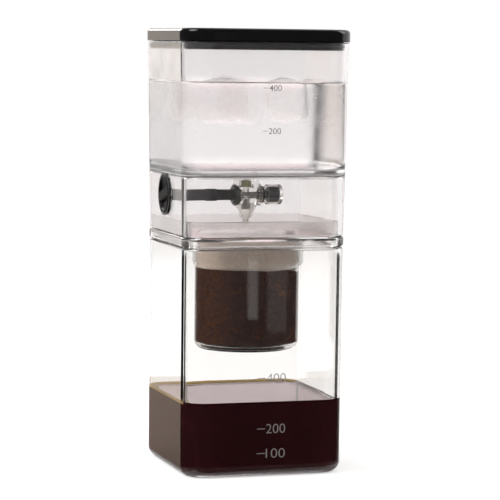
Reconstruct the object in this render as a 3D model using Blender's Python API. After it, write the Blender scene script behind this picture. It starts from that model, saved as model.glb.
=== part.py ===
"""Cold brew drip tower: a square clear server, a round coffee cup hung from a square flange,
a square water tank with a drip valve under its floor, and a black lid.

Metres, +Z up. The origin is the centre of the server's underside. X runs along the front,
and the control knob is in the tank's left wall, at -X.
"""

import math

import bmesh
import bpy
from mathutils import Matrix, Vector

# Clearances that every fit shares
SEAT_GAP = 0.0003
SLIDE_GAP = 0.0004
TURN_GAP = 0.0003
CUT_OVERRUN = 0.002

# Corners and facets
CORNER_RADIUS = 0.0135
CORNER_STEPS = 7
FILLET_STEPS = 4
EDGE_STEPS = 2
TURNED_SIDES = 32
SMALL_SIDES = 16
HOLE_SIDES = 6
O_RING_SIDES = 8
SMOOTH_ANGLE = math.radians(35)

# Server
SERVER_WIDTH = 0.0925
SERVER_HEIGHT = 0.1259
SERVER_WALL = 0.0030
SERVER_FLOOR = 0.0026
SERVER_BASE_FILLET = 0.0060
SERVER_DRAFT = 0.0002
SERVER_RIM_ROUND = 0.0008

# Dripper: flange, step into the server, collar into the tank
FLANGE_WIDTH = 0.0932
FLANGE_HEIGHT = 0.0061
FLANGE_ROUND = 0.0018
DECK_THICKNESS = 0.0025
STEP_DEPTH = 0.0016
STEP_THICKNESS = 0.0025
COLLAR_HEIGHT = 0.0085
COLLAR_THICKNESS = 0.0020
COLLAR_ROUND = 0.0005

# Dripper: cup
CUP_MOUTH_RADIUS = 0.0300
CUP_MOUTH_ROUND = 0.0010
CUP_BAND_WALL = 0.0028
CUP_BAND_DEPTH = 0.0172
CUP_BAND_TAPER = 0.0025
CUP_RADIUS = 0.0304
CUP_WALL = 0.0020
CUP_DEPTH = 0.0657
CUP_FLOOR = 0.0020
CUP_BASE_FILLET = 0.0050
DRAIN_HOLE_RADIUS = 0.0014
DRAIN_HOLE_PITCH = 0.0052
DRAIN_HOLE_RINGS = 3

# Filter: a frame ring on the cup's floor, and a perforated disc on the frame's ledge
FILTER_HEIGHT = 0.0043
FILTER_RIM = 0.0030
FILTER_LEDGE = 0.0025
FILTER_LEDGE_HEIGHT = 0.0020
FILTER_EDGE_ROUND = 0.0005
MESH_THICKNESS = 0.0006
MESH_HOLE_RADIUS = 0.0016
MESH_HOLE_PITCH = 0.0052

# Tank
TANK_BASE_WIDTH = 0.0927
TANK_TOP_WIDTH = 0.0963
TANK_HEIGHT = 0.1061
TANK_FLOOR_HEIGHT = 0.0336
TANK_FLOOR = 0.0024
TANK_SKIRT_WALL = 0.0025
TANK_SKIRT_TOP_WALL = 0.0033
TANK_SKIRT_FILLET = 0.0025
TANK_WAIST_WALL = 0.0030
TANK_RIM_WALL = 0.0022
TANK_INNER_FILLET = 0.0050
TANK_RIM_ROUND = 0.0006
SPIGOT_RADIUS = 0.0019
SPIGOT_BORE_RADIUS = 0.0010
SPIGOT_LENGTH = 0.0072

# Lid
LID_OVERHANG = 0.00055
LID_HEIGHT = 0.0070
LID_TOP = 0.0020
LID_TOP_ROUND = 0.0022
LID_EDGE_ROUND = 0.0004
PLUG_DEPTH = 0.0046
PLUG_WALL = 0.0020
PLUG_CLEARANCE = 0.0006
SEAL_HEIGHT = 0.0016
SEAL_GROOVE = 0.0008
SEAL_DROP = 0.0014

# Valve body
VALVE_AXIS_DROP = 0.0125
VALVE_RADIUS = 0.0073
SOCKET_DEPTH = 0.0080
GASKET_WALL = 0.0007
GASKET_HEIGHT = 0.0036
GASKET_GAP = 0.0002
INLET_PASSAGE_RADIUS = 0.0010
CROSS_BOSS_RADIUS = 0.0063
CROSS_BOSS_LEFT = 0.0074
CROSS_BOSS_RIGHT = 0.0082
FUNNEL_DROP = 0.0040
FUNNEL_HEIGHT = 0.0091
FUNNEL_WALL = 0.0017
FUNNEL_CAVITY_DROP = 0.0052
NOZZLE_NECK_RADIUS = 0.0028
NOZZLE_RADIUS = 0.0020
NOZZLE_LENGTH = 0.0034
NOZZLE_BORE_RADIUS = 0.0010
SEAT_RADIUS = 0.0026
SEAT_BORE_RADIUS = 0.0006
SEAT_LENGTH = 0.0062
SEAT_NECK_RADIUS = 0.0011
SEAT_NECK_LENGTH = 0.0024

# Spindle, from the knob's rod to the end cover
PIN_RADIUS = 0.0016
PIN_LEFT = 0.0130
PIN_RIGHT = 0.0175
PIN_NOTCH_WIDTH = 0.0024
PIN_NOTCH_DEPTH = 0.0012
SPINDLE_BOSS_RADIUS = 0.0050
SPINDLE_BOSS_LEFT = 0.0081
SPINDLE_BOSS_RIGHT = 0.0044
SPINDLE_EDGE = 0.0006
STEM_HEIGHT = 0.0060
STEM_THICKNESS = 0.0040
STEM_LEFT = 0.0174
TANG_HEIGHT = 0.0036
TANG_THICKNESS = 0.0022
TANG_LENGTH = 0.0050
BAR_CHAMFER = 0.0009
RING_THICKNESS = 0.0011
RING_WIDTH = 0.0014
RIGHT_POCKET_DEPTH = 0.0032
DISC_RADIUS = 0.0049
DISC_LEFT = 0.0085
DISC_THICKNESS = 0.0014
DISC_ROUND = 0.0003
CAP_RADIUS = 0.00435
CAP_LEFT = 0.0120
CAP_LENGTH = 0.0069
CAP_ROUND = 0.0010
COVER_WALL = 0.0011
COVER_END = 0.0012
COVER_ROUND = 0.0015
COVER_LIP = 0.0003

# Drive rod
ROD_HEIGHT = 0.0063
ROD_THICKNESS = 0.0042
SLEEVE_HEIGHT = 0.0068
SLEEVE_THICKNESS = 0.0050
SLEEVE_LENGTH = 0.0056

# Knob and its bezel in the tank's left wall
KNOB_RADIUS = 0.0104
KNOB_THICKNESS = 0.0040
KNOB_PROUD = 0.0003
KNOB_ROUND = 0.0007
KNOB_TILT = math.radians(-15.4)
GRIP_WIDTH = 0.0050
GRIP_DRAFT = 0.0010
SCOOP_DEPTH = 0.0017
SCOOP_RIM = 0.0011
SCOOP_STEPS = 10
ROD_SOCKET_DEPTH = 0.0013
BEZEL_WALL = 0.0006
BEZEL_FLANGE_RADIUS = 0.0120
BEZEL_FLANGE = 0.0005
BEZEL_ROUND = 0.0002

# Heights and half widths worked out from the sizes above
DRIPPER_Z = SERVER_HEIGHT + SEAT_GAP
TANK_Z = DRIPPER_Z + FLANGE_HEIGHT + SEAT_GAP
LID_Z = TANK_Z + TANK_HEIGHT + SEAT_GAP
CUP_INNER_RADIUS = CUP_RADIUS - CUP_WALL
CUP_FLOOR_Z = FLANGE_HEIGHT - CUP_DEPTH + CUP_FLOOR
CUP_INNER_FILLET = max(CUP_BASE_FILLET - CUP_WALL, SEAT_GAP)
GASKET_INNER_RADIUS = SPIGOT_RADIUS + GASKET_GAP
GASKET_OUTER_RADIUS = GASKET_INNER_RADIUS + GASKET_WALL
SOCKET_RADIUS = GASKET_OUTER_RADIUS + GASKET_GAP
PIN_BORE_RADIUS = PIN_RADIUS + TURN_GAP
RING_POCKET_RADIUS = PIN_RADIUS + TURN_GAP + RING_THICKNESS + TURN_GAP
KNOB_BORE_RADIUS = KNOB_RADIUS + TURN_GAP
BEZEL_RADIUS = KNOB_BORE_RADIUS + BEZEL_WALL
KNOB_HOLE_RADIUS = BEZEL_RADIUS + SEAT_GAP

POINTS_PER_RING = 4 * (CORNER_STEPS + 1)


def tank_width(height):
    """The tank's outer width at a height above its bottom edge."""
    return TANK_BASE_WIDTH + (TANK_TOP_WIDTH - TANK_BASE_WIDTH) * height / TANK_HEIGHT


def skirt_width(height):
    """The inner width of the tank's skirt, which narrows upward so that it leaves its mould."""
    bottom = TANK_BASE_WIDTH - 2 * TANK_SKIRT_WALL
    top = tank_width(TANK_FLOOR_HEIGHT) - 2 * TANK_SKIRT_TOP_WALL
    return bottom + (top - bottom) * height / TANK_FLOOR_HEIGHT


# The wall that carries the knob, where it leans furthest out and furthest in beside its hole
AXIS_HEIGHT = TANK_FLOOR_HEIGHT - VALVE_AXIS_DROP
HOLE_TOP = AXIS_HEIGHT + BEZEL_FLANGE_RADIUS
HOLE_BOTTOM = AXIS_HEIGHT - BEZEL_FLANGE_RADIUS
WALL_OUTSIDE = max(tank_width(HOLE_TOP), tank_width(HOLE_BOTTOM)) / 2
WALL_INSIDE = min(skirt_width(HOLE_TOP), skirt_width(HOLE_BOTTOM)) / 2
BEZEL_FACE = WALL_OUTSIDE + SEAT_GAP + BEZEL_FLANGE
KNOB_FACE = BEZEL_FACE + KNOB_PROUD
KNOB_BACK = KNOB_FACE - KNOB_THICKNESS


def clear_scene():
    for thing in list(bpy.data.objects):
        bpy.data.objects.remove(thing)


def make_material(name, color, roughness, metallic=0.0, alpha=1.0):
    finish = bpy.data.materials.new(name)
    finish.use_nodes = True
    finish.diffuse_color = (*color, alpha)
    shader = finish.node_tree.nodes["Principled BSDF"]
    shader.inputs["Base Color"].default_value = (*color, 1.0)
    shader.inputs["Roughness"].default_value = roughness
    shader.inputs["Metallic"].default_value = metallic
    shader.inputs["Alpha"].default_value = alpha
    return finish


def datum(name, parent, location):
    """An empty that carries the pieces of one body."""
    empty = bpy.data.objects.new(name, None)
    bpy.context.scene.collection.objects.link(empty)
    empty.parent = parent
    empty.location = location
    return empty


def add_object(name, mesh_data, parent, finish):
    mesh = bpy.data.meshes.new(name)
    bmesh.ops.recalc_face_normals(mesh_data, faces=mesh_data.faces)
    mesh_data.to_mesh(mesh)
    mesh_data.free()
    if finish:
        mesh.materials.append(finish)
    mesh.shade_smooth()
    mesh.set_sharp_from_angle(angle=SMOOTH_ANGLE)
    piece = bpy.data.objects.new(name, mesh)
    bpy.context.scene.collection.objects.link(piece)
    piece.parent = parent
    return piece


def helper(piece):
    """Marks a cutter or a shape to be joined, which isn't a piece itself."""
    piece.hide_render = True
    piece.display_type = "WIRE"
    return piece


def combine(piece, other, operation):
    step = piece.modifiers.new(f"{operation.lower()} {other.name}", "BOOLEAN")
    step.operation = operation
    step.object = helper(other)
    step.solver = "EXACT"


def cut(piece, *cutters):
    for cutter in cutters:
        combine(piece, cutter, "DIFFERENCE")


def unite(piece, *others):
    for other in others:
        combine(piece, other, "UNION")


def square_ring(width, z):
    """A rounded square whose corners stay concentric with the server's outer corners."""
    radius = max(CORNER_RADIUS + (width - SERVER_WIDTH) / 2, SEAT_GAP)
    centre = width / 2 - radius
    points = []
    for quarter in range(4):
        turn = math.pi / 2 * quarter
        middle = Matrix.Rotation(turn, 3, "Z") @ Vector((centre, centre, z))
        for step in range(CORNER_STEPS + 1):
            angle = turn + math.pi / 2 * step / CORNER_STEPS
            points.append(middle + radius * Vector((math.cos(angle), math.sin(angle), 0)))
    return points


def round_ring(radius, z):
    """A circle with as many points as a rounded square, so that one can run into the other."""
    points = []
    for index in range(POINTS_PER_RING):
        angle = 2 * math.pi * (index + 0.5) / POINTS_PER_RING
        points.append(Vector((radius * math.cos(angle), radius * math.sin(angle), z)))
    return points


def skin(name, rings, parent, finish, closed=False):
    """Bridges each ring of points to the next. An open run of rings is capped at both ends."""
    shape = bmesh.new()
    loops = [[shape.verts.new(point) for point in ring] for ring in rings]
    pairs = list(zip(loops, loops[1:], strict=False))
    if closed:
        pairs.append((loops[-1], loops[0]))
    else:
        shape.faces.new(loops[0])
        shape.faces.new(loops[-1])
    for lower, upper in pairs:
        for index, corner in enumerate(lower):
            after = (index + 1) % len(lower)
            shape.faces.new((corner, lower[after], upper[after], upper[index]))
    return add_object(name, shape, parent, finish)


def fillet(across, along, radius, start, end, steps=FILLET_STEPS):
    """Quarter-round stations about a centre: (across, along) pairs from one angle to another."""
    stations = []
    for step in range(steps + 1):
        angle = math.radians(start + (end - start) * step / steps)
        stations.append((across + radius * math.cos(angle), along + radius * math.sin(angle)))
    return stations


def square_rings(stations):
    """Rounded squares from (half width, z) stations."""
    return [square_ring(2 * half, z) for half, z in stations]


def round_rings(stations):
    return [round_ring(radius, z) for radius, z in stations]


def turned(name, stations, parent, finish, axis="Z", sides=TURNED_SIDES, closed=False):
    """A turned piece from (radius, place along the axis) stations."""
    rings = []
    for radius, along in stations:
        ring = []
        for index in range(sides):
            angle = 2 * math.pi * index / sides
            ring.append(Vector((radius * math.cos(angle), radius * math.sin(angle), along)))
        rings.append(ring)
    piece = skin(name, rings, parent, finish, closed)
    if axis == "X":
        # Local +Z turned onto +X
        piece.data.transform(Matrix.Rotation(math.pi / 2, 4, "Y"))
    return piece


def ring_band(inner, outer, low, high):
    """Stations of a ring with a rectangular section."""
    return [(outer, low), (outer, high), (inner, high), (inner, low)]


def bar(name, height, thickness, left, right, parent, finish):
    """A flat bar along X with chamfered edges, standing on its narrow side."""
    tall = height / 2
    wide = thickness / 2
    chamfer = min(BAR_CHAMFER, tall / 2, wide / 2)
    section = []
    for sign_y, sign_z in ((1, 1), (-1, 1), (-1, -1), (1, -1)):
        corner = [
            (sign_y * wide, sign_z * (tall - chamfer)),
            (sign_y * (wide - chamfer), sign_z * tall),
        ]
        section += corner if sign_y * sign_z > 0 else corner[::-1]
    rings = [[Vector((x, y, z)) for y, z in section] for x in (left, right)]
    return skin(name, rings, parent, finish)


def make_server(body, finish):
    outer_top = SERVER_WIDTH / 2
    outer_base = outer_top - SERVER_DRAFT
    inner_base = outer_base - SERVER_WALL
    inner_fillet = SERVER_BASE_FILLET - SERVER_WALL / 2
    rim = min(SERVER_RIM_ROUND, SERVER_WALL / 2)
    outside = fillet(outer_base - SERVER_BASE_FILLET, SERVER_BASE_FILLET, SERVER_BASE_FILLET, -90, 0)
    lip = fillet(outer_top - rim, SERVER_HEIGHT - rim, rim, 0, 90, EDGE_STEPS)
    inner_lip = fillet(outer_top - SERVER_WALL + rim, SERVER_HEIGHT - rim, rim, 90, 180, EDGE_STEPS)
    inside = fillet(inner_base - inner_fillet, SERVER_FLOOR + inner_fillet, inner_fillet, 0, -90)
    skin("server", square_rings(outside + lip + inner_lip + inside), body, finish)


def make_dripper(body, finish):
    """One moulding: a cup, the deck that it hangs from, a step below and a collar above."""
    flange = FLANGE_WIDTH / 2
    step = SERVER_WIDTH / 2 - SERVER_WALL - SLIDE_GAP
    collar = skirt_width(COLLAR_HEIGHT) / 2 - SLIDE_GAP
    deck_underside = FLANGE_HEIGHT - DECK_THICKNESS
    collar_top = FLANGE_HEIGHT + COLLAR_HEIGHT
    cup_bottom = FLANGE_HEIGHT - CUP_DEPTH
    band_bottom = FLANGE_HEIGHT - CUP_BAND_DEPTH
    band = CUP_MOUTH_RADIUS + CUP_BAND_WALL
    edge = min(FLANGE_ROUND, FLANGE_HEIGHT / 3)
    base = CUP_BASE_FILLET

    cup_outside = fillet(CUP_RADIUS - base, cup_bottom + base, base, -90, 0)
    cup_outside += [(CUP_RADIUS, band_bottom - CUP_BAND_TAPER), (band, band_bottom)]
    cup_outside += [(band, deck_underside)]

    underside = [(step - STEP_THICKNESS, deck_underside), (step - STEP_THICKNESS, -STEP_DEPTH)]
    underside += [(step, -STEP_DEPTH), (step, 0)]
    edge_round = fillet(flange - edge, edge, edge, -90, 0)
    edge_round += fillet(flange - edge, FLANGE_HEIGHT - edge, edge, 0, 90)
    rim = fillet(collar - COLLAR_ROUND, collar_top - COLLAR_ROUND, COLLAR_ROUND, 0, 90, EDGE_STEPS)
    tray = [(collar, FLANGE_HEIGHT)] + rim
    tray += [(collar - COLLAR_THICKNESS, collar_top), (collar - COLLAR_THICKNESS, FLANGE_HEIGHT)]

    mouth = CUP_MOUTH_ROUND
    cup_inside = fillet(CUP_MOUTH_RADIUS + mouth, FLANGE_HEIGHT - mouth, mouth, 90, 180, EDGE_STEPS)
    cup_inside += [(CUP_MOUTH_RADIUS, band_bottom), (CUP_INNER_RADIUS, band_bottom - CUP_BAND_TAPER)]
    floor_radius = CUP_INNER_RADIUS - CUP_INNER_FILLET
    cup_inside += fillet(floor_radius, CUP_FLOOR_Z + CUP_INNER_FILLET, CUP_INNER_FILLET, 0, -90)

    rings = round_rings(cup_outside) + square_rings(underside + edge_round + tray)
    cup = skin("dripper_cup", rings + round_rings(cup_inside), body, finish)
    cut(cup, drain_hole_cutter(body, cup_bottom))


def drain_hole_cutter(body, cup_bottom):
    """Rings of drain holes through the cup's floor, in one cutter."""
    places = [(0.0, 0.0)]
    for ring in range(1, DRAIN_HOLE_RINGS + 1):
        for index in range(6 * ring):
            angle = 2 * math.pi * index / (6 * ring)
            reach = ring * DRAIN_HOLE_PITCH
            places.append((reach * math.cos(angle), reach * math.sin(angle)))
    return hole_cutter("drain_holes", places, DRAIN_HOLE_RADIUS, cup_bottom, CUP_FLOOR_Z, body)


def hole_cutter(name, places, radius, low, high, parent):
    shape = bmesh.new()
    depth = high - low + 2 * CUT_OVERRUN
    for x, y in places:
        bmesh.ops.create_cone(
            shape,
            cap_ends=True,
            segments=HOLE_SIDES,
            radius1=radius,
            radius2=radius,
            depth=depth,
            matrix=Matrix.Translation((x, y, (low + high) / 2)),
        )
    return add_object(name, shape, parent, None)


def make_filter(body, frame_finish, mesh_finish):
    """The frame's outside follows the fillet of the cup's floor, and the disc lies on its ledge."""
    foot = CUP_INNER_RADIUS - CUP_INNER_FILLET - SLIDE_GAP
    outside = CUP_INNER_RADIUS - SLIDE_GAP
    bore = outside - FILTER_RIM
    ledge = bore - FILTER_LEDGE
    edge = FILTER_EDGE_ROUND
    stations = [(ledge, 0), (foot, 0), (outside, CUP_INNER_FILLET)]
    stations += fillet(outside - edge, FILTER_HEIGHT - edge, edge, 0, 90, EDGE_STEPS)
    stations += [(bore, FILTER_HEIGHT), (bore, FILTER_LEDGE_HEIGHT), (ledge, FILTER_LEDGE_HEIGHT)]
    turned("filter_frame", stations, body, frame_finish, closed=True)

    disc = bore - SEAT_GAP
    low = FILTER_LEDGE_HEIGHT + SEAT_GAP
    high = low + MESH_THICKNESS
    plate = turned("filter_mesh", [(disc, low), (disc, high)], body, mesh_finish)
    cut(plate, hole_cutter("mesh_holes", mesh_places(ledge), MESH_HOLE_RADIUS, low, high, body))


def mesh_places(reach):
    """A staggered grid of holes inside the ledge's bore."""
    row_pitch = MESH_HOLE_PITCH * math.sqrt(3) / 2
    limit = reach - MESH_HOLE_PITCH / 2
    rows = int(limit / row_pitch)
    columns = int(limit / MESH_HOLE_PITCH) + 1
    places = []
    for row in range(-rows, rows + 1):
        for column in range(-columns, columns + 1):
            x = (column + (row % 2) / 2) * MESH_HOLE_PITCH
            y = row * row_pitch
            if math.hypot(x, y) <= limit:
                places.append((x, y))
    return places


def make_tank(body, finish):
    """Water space above the floor, valve chamber below it, and the outlet spigot between them."""
    base = tank_width(0) / 2
    top = tank_width(TANK_HEIGHT) / 2
    floor_top = TANK_FLOOR_HEIGHT + TANK_FLOOR
    waist = tank_width(floor_top) / 2 - TANK_WAIST_WALL
    spigot_end = TANK_FLOOR_HEIGHT - SPIGOT_LENGTH
    rim = min(TANK_RIM_ROUND, TANK_RIM_WALL / 3)
    inner = TANK_INNER_FILLET

    bore = round_rings([(SPIGOT_BORE_RADIUS, spigot_end), (SPIGOT_BORE_RADIUS, floor_top)])
    inside = fillet(waist - inner, floor_top + inner, inner, -90, 0)
    inside += fillet(top - TANK_RIM_WALL + rim, TANK_HEIGHT - rim, rim, 180, 90, EDGE_STEPS)
    outside = fillet(top - rim, TANK_HEIGHT - rim, rim, 90, 0, EDGE_STEPS)
    outside += [(base, rim), (base - rim, 0)]
    corner = TANK_SKIRT_FILLET
    skirt_top = skirt_width(TANK_FLOOR_HEIGHT) / 2
    skirt = [(skirt_width(0) / 2, 0)]
    skirt += fillet(skirt_top - corner, TANK_FLOOR_HEIGHT - corner, corner, 0, 90, EDGE_STEPS)
    spigot = round_rings([(SPIGOT_RADIUS, TANK_FLOOR_HEIGHT), (SPIGOT_RADIUS, spigot_end)])
    rings = bore + square_rings(inside + outside + skirt) + spigot
    tank = skin("water_tank", rings, body, finish, closed=True)

    stations = [
        (KNOB_HOLE_RADIUS, -WALL_OUTSIDE - CUT_OVERRUN),
        (KNOB_HOLE_RADIUS, -WALL_INSIDE + CUT_OVERRUN),
    ]
    hole = turned("knob_hole", stations, body, None, "X")
    hole.location.z = AXIS_HEIGHT
    cut(tank, hole)


def make_lid(body, cap_finish, seal_finish):
    outer = tank_width(TANK_HEIGHT) / 2 + LID_OVERHANG
    mouth = tank_width(TANK_HEIGHT) / 2 - TANK_RIM_WALL
    plug = mouth - PLUG_CLEARANCE
    groove = plug - SEAL_GROOVE
    groove_top = -SEAL_DROP
    groove_bottom = groove_top - SEAL_HEIGHT - 2 * SEAT_GAP
    ceiling = LID_HEIGHT - LID_TOP
    edge = LID_EDGE_ROUND

    hollow = [(plug - PLUG_WALL, ceiling), (plug - PLUG_WALL, -PLUG_DEPTH)]
    plug_side = [(plug, -PLUG_DEPTH), (plug, groove_bottom), (groove, groove_bottom)]
    plug_side += [(groove, groove_top), (plug, groove_top), (plug, 0)]
    crown = [(outer - edge, 0), (outer, edge)]
    crown += fillet(outer - LID_TOP_ROUND, LID_HEIGHT - LID_TOP_ROUND, LID_TOP_ROUND, 0, 90)
    skin("lid_cap", square_rings(hollow + plug_side + crown), body, cap_finish)

    low = groove_bottom + SEAT_GAP
    band = ring_band(groove + SEAT_GAP, mouth - SEAT_GAP, low, low + SEAL_HEIGHT)
    skin("lid_seal", square_rings(band), body, seal_finish, closed=True)


def make_valve_body(body, finish):
    """A socket over the tank's spigot, a cross boss for the spindle, and a funnel to the nozzle.

    Heights are from the spindle's axis.
    """
    top = VALVE_AXIS_DROP - SEAT_GAP
    funnel_bottom = -FUNNEL_DROP - FUNNEL_HEIGHT
    tip = funnel_bottom - NOZZLE_LENGTH
    outside = [(NOZZLE_RADIUS, tip), (NOZZLE_RADIUS, funnel_bottom), (NOZZLE_NECK_RADIUS, funnel_bottom)]
    outside += [(VALVE_RADIUS, -FUNNEL_DROP), (VALVE_RADIUS, top)]
    valve = turned("valve_body", outside, body, finish)

    boss = [(CROSS_BOSS_RADIUS, -CROSS_BOSS_LEFT), (CROSS_BOSS_RADIUS, CROSS_BOSS_RIGHT)]
    unite(valve, turned("cross_boss", boss, body, None, "X"))

    socket_floor = top - SOCKET_DEPTH
    socket = [(INLET_PASSAGE_RADIUS, 0), (INLET_PASSAGE_RADIUS, socket_floor)]
    socket += [(SOCKET_RADIUS, socket_floor), (SOCKET_RADIUS, top + CUT_OVERRUN)]

    slope = (VALVE_RADIUS - NOZZLE_NECK_RADIUS) / FUNNEL_HEIGHT
    cavity_top = -FUNNEL_CAVITY_DROP
    cavity_radius = VALVE_RADIUS - FUNNEL_WALL - slope * (FUNNEL_CAVITY_DROP - FUNNEL_DROP)
    neck_drop = (cavity_radius - NOZZLE_BORE_RADIUS) / slope
    passage = [(NOZZLE_BORE_RADIUS, tip - CUT_OVERRUN), (NOZZLE_BORE_RADIUS, cavity_top - neck_drop)]
    shoulder = -PIN_RADIUS - SEAT_NECK_LENGTH
    passage += [(cavity_radius, cavity_top), (SEAT_RADIUS + SEAT_GAP, cavity_top)]
    passage += [(SEAT_RADIUS + SEAT_GAP, shoulder), (SEAT_NECK_RADIUS + SEAT_GAP, shoulder)]
    passage += [(SEAT_NECK_RADIUS + SEAT_GAP, 0)]

    plug_end = -SPINDLE_BOSS_RIGHT + SEAT_GAP
    ring_end = plug_end + RING_WIDTH + SEAT_GAP
    plug_bore = SPINDLE_BOSS_RADIUS + TURN_GAP
    cross = [(plug_bore, -CROSS_BOSS_LEFT - CUT_OVERRUN), (plug_bore, plug_end)]
    cross += [(RING_POCKET_RADIUS, plug_end), (RING_POCKET_RADIUS, ring_end), (PIN_BORE_RADIUS, ring_end)]
    cross += [(PIN_BORE_RADIUS, CROSS_BOSS_RIGHT - RIGHT_POCKET_DEPTH)]
    cross += [(RING_POCKET_RADIUS, CROSS_BOSS_RIGHT - RIGHT_POCKET_DEPTH)]
    cross += [(RING_POCKET_RADIUS, CROSS_BOSS_RIGHT + CUT_OVERRUN)]

    cut(
        valve,
        turned("inlet_bore", socket, body, None),
        turned("funnel_bore", passage, body, None, sides=SMALL_SIDES),
        turned("cross_bore", cross, body, None, "X"),
    )


def make_valve_inserts(body, gasket_finish, seat_finish):
    """The soft ring round the tank's spigot, and the metering seat under the spindle's pin."""
    socket_floor = VALVE_AXIS_DROP - SEAT_GAP - SOCKET_DEPTH
    low = socket_floor + SEAT_GAP
    band = ring_band(GASKET_INNER_RADIUS, GASKET_OUTER_RADIUS, low, low + GASKET_HEIGHT)
    turned("inlet_gasket", band, body, gasket_finish, closed=True)

    high = -PIN_RADIUS - TURN_GAP
    shoulder = high - SEAT_NECK_LENGTH
    seat = [(SEAT_BORE_RADIUS, high), (SEAT_NECK_RADIUS, high), (SEAT_NECK_RADIUS, shoulder)]
    seat += [(SEAT_RADIUS, shoulder), (SEAT_RADIUS, high - SEAT_LENGTH)]
    seat += [(SEAT_BORE_RADIUS, high - SEAT_LENGTH)]
    turned("orifice_seat", seat, body, seat_finish, sides=SMALL_SIDES, closed=True)


def make_pin(body, finish):
    """The turning pin. A notch across it opens the seat's bore as the knob turns."""
    length = [(PIN_RADIUS, -PIN_LEFT), (PIN_RADIUS, PIN_RIGHT)]
    pin = turned("metering_pin", length, body, finish, "X", SMALL_SIDES)
    shape = bmesh.new()
    size = (PIN_NOTCH_WIDTH, 2 * PIN_RADIUS + CUT_OVERRUN, PIN_NOTCH_DEPTH + CUT_OVERRUN)
    centre = (0, 0, PIN_NOTCH_DEPTH - PIN_RADIUS - size[2] / 2)
    place = Matrix.Translation(centre) @ Matrix.Diagonal((*size, 1))
    bmesh.ops.create_cube(shape, size=1, matrix=place)
    notch = add_object("pin_notch", shape, body, None)
    cut(pin, notch)


def make_spindle(body, finish):
    """The black stem that the rod drives, with the round boss that turns in the valve body."""
    edge = SPINDLE_EDGE
    inside = -SPINDLE_BOSS_LEFT + edge
    boss = [(SPINDLE_BOSS_RADIUS - edge, -SPINDLE_BOSS_LEFT), (SPINDLE_BOSS_RADIUS, inside)]
    boss += [(SPINDLE_BOSS_RADIUS, -SPINDLE_BOSS_RIGHT - edge)]
    boss += [(SPINDLE_BOSS_RADIUS - edge, -SPINDLE_BOSS_RIGHT)]
    spindle = turned("valve_spindle", boss, body, finish, "X")
    stem = bar("stem_bar", STEM_HEIGHT, STEM_THICKNESS, -STEM_LEFT, inside, body, None)
    tang_end = -STEM_LEFT - TANG_LENGTH
    tang = bar("stem_tang", TANG_HEIGHT, TANG_THICKNESS, tang_end, inside, body, None)
    unite(spindle, stem, tang)
    bore = [(PIN_BORE_RADIUS, -PIN_LEFT - SEAT_GAP), (PIN_BORE_RADIUS, -SPINDLE_BOSS_RIGHT + CUT_OVERRUN)]
    cut(spindle, turned("spindle_bore", bore, body, None, "X", SMALL_SIDES))


def make_rings(body, finish):
    """An O-ring on each side of the metering notch."""
    inner = PIN_RADIUS + TURN_GAP
    middle = inner + RING_THICKNESS / 2
    left = -SPINDLE_BOSS_RIGHT + SEAT_GAP + RING_WIDTH / 2 + SEAT_GAP / 2
    right = CROSS_BOSS_RIGHT - RIGHT_POCKET_DEPTH + SEAT_GAP + RING_WIDTH / 2
    for name, centre in (("o_ring_left", left), ("o_ring_right", right)):
        stations = []
        for step in range(O_RING_SIDES):
            angle = 2 * math.pi * step / O_RING_SIDES
            along = centre + RING_WIDTH / 2 * math.sin(angle)
            stations.append((middle + RING_THICKNESS / 2 * math.cos(angle), along))
        turned(name, stations, body, finish, "X", SMALL_SIDES, closed=True)


def make_end_pieces(body, black, clear):
    """The disc that keeps the pin in the valve body, the cap on the pin's end and its clear cover."""
    edge = DISC_ROUND
    right = DISC_LEFT + DISC_THICKNESS
    disc = [(PIN_BORE_RADIUS, DISC_LEFT), (DISC_RADIUS - edge, DISC_LEFT), (DISC_RADIUS, DISC_LEFT + edge)]
    disc += [(DISC_RADIUS, right - edge), (DISC_RADIUS - edge, right), (PIN_BORE_RADIUS, right)]
    turned("retaining_disc", disc, body, black, "X", closed=True)

    end = CAP_LEFT + CAP_LENGTH
    bore_end = PIN_RIGHT + SEAT_GAP
    cap = [(PIN_BORE_RADIUS, bore_end), (PIN_BORE_RADIUS, CAP_LEFT), (CAP_RADIUS - edge, CAP_LEFT)]
    cap += [(CAP_RADIUS, CAP_LEFT + edge)]
    cap += fillet(CAP_RADIUS - CAP_ROUND, end - CAP_ROUND, CAP_ROUND, 0, 90)
    turned("end_cap", cap, body, black, "X")

    inner = CAP_RADIUS + SEAT_GAP
    outer = inner + COVER_WALL
    inner_end = end + SEAT_GAP
    outer_end = inner_end + COVER_END
    cover = [(inner, inner_end), (inner, CAP_LEFT - COVER_LIP), (outer, CAP_LEFT - COVER_LIP)]
    cover += fillet(outer - COVER_ROUND, outer_end - COVER_ROUND, COVER_ROUND, 0, 90)
    turned("end_cover", cover, body, clear, "X")


def make_rod(body, finish):
    """The flat rod from the knob's socket to the sleeve that takes the spindle's tang."""
    left = -KNOB_BACK - ROD_SOCKET_DEPTH + SEAT_GAP
    right = -STEM_LEFT - SEAT_GAP
    rod = bar("drive_rod", ROD_HEIGHT, ROD_THICKNESS, left, right, body, finish)
    sleeve_left = right - SLEEVE_LENGTH
    unite(rod, bar("rod_sleeve", SLEEVE_HEIGHT, SLEEVE_THICKNESS, sleeve_left, right, body, None))
    socket_left = -STEM_LEFT - TANG_LENGTH - SEAT_GAP
    tall = TANG_HEIGHT + 2 * SEAT_GAP
    wide = TANG_THICKNESS + 2 * SEAT_GAP
    cut(rod, bar("rod_socket", tall, wide, socket_left, right + CUT_OVERRUN, body, None))


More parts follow.
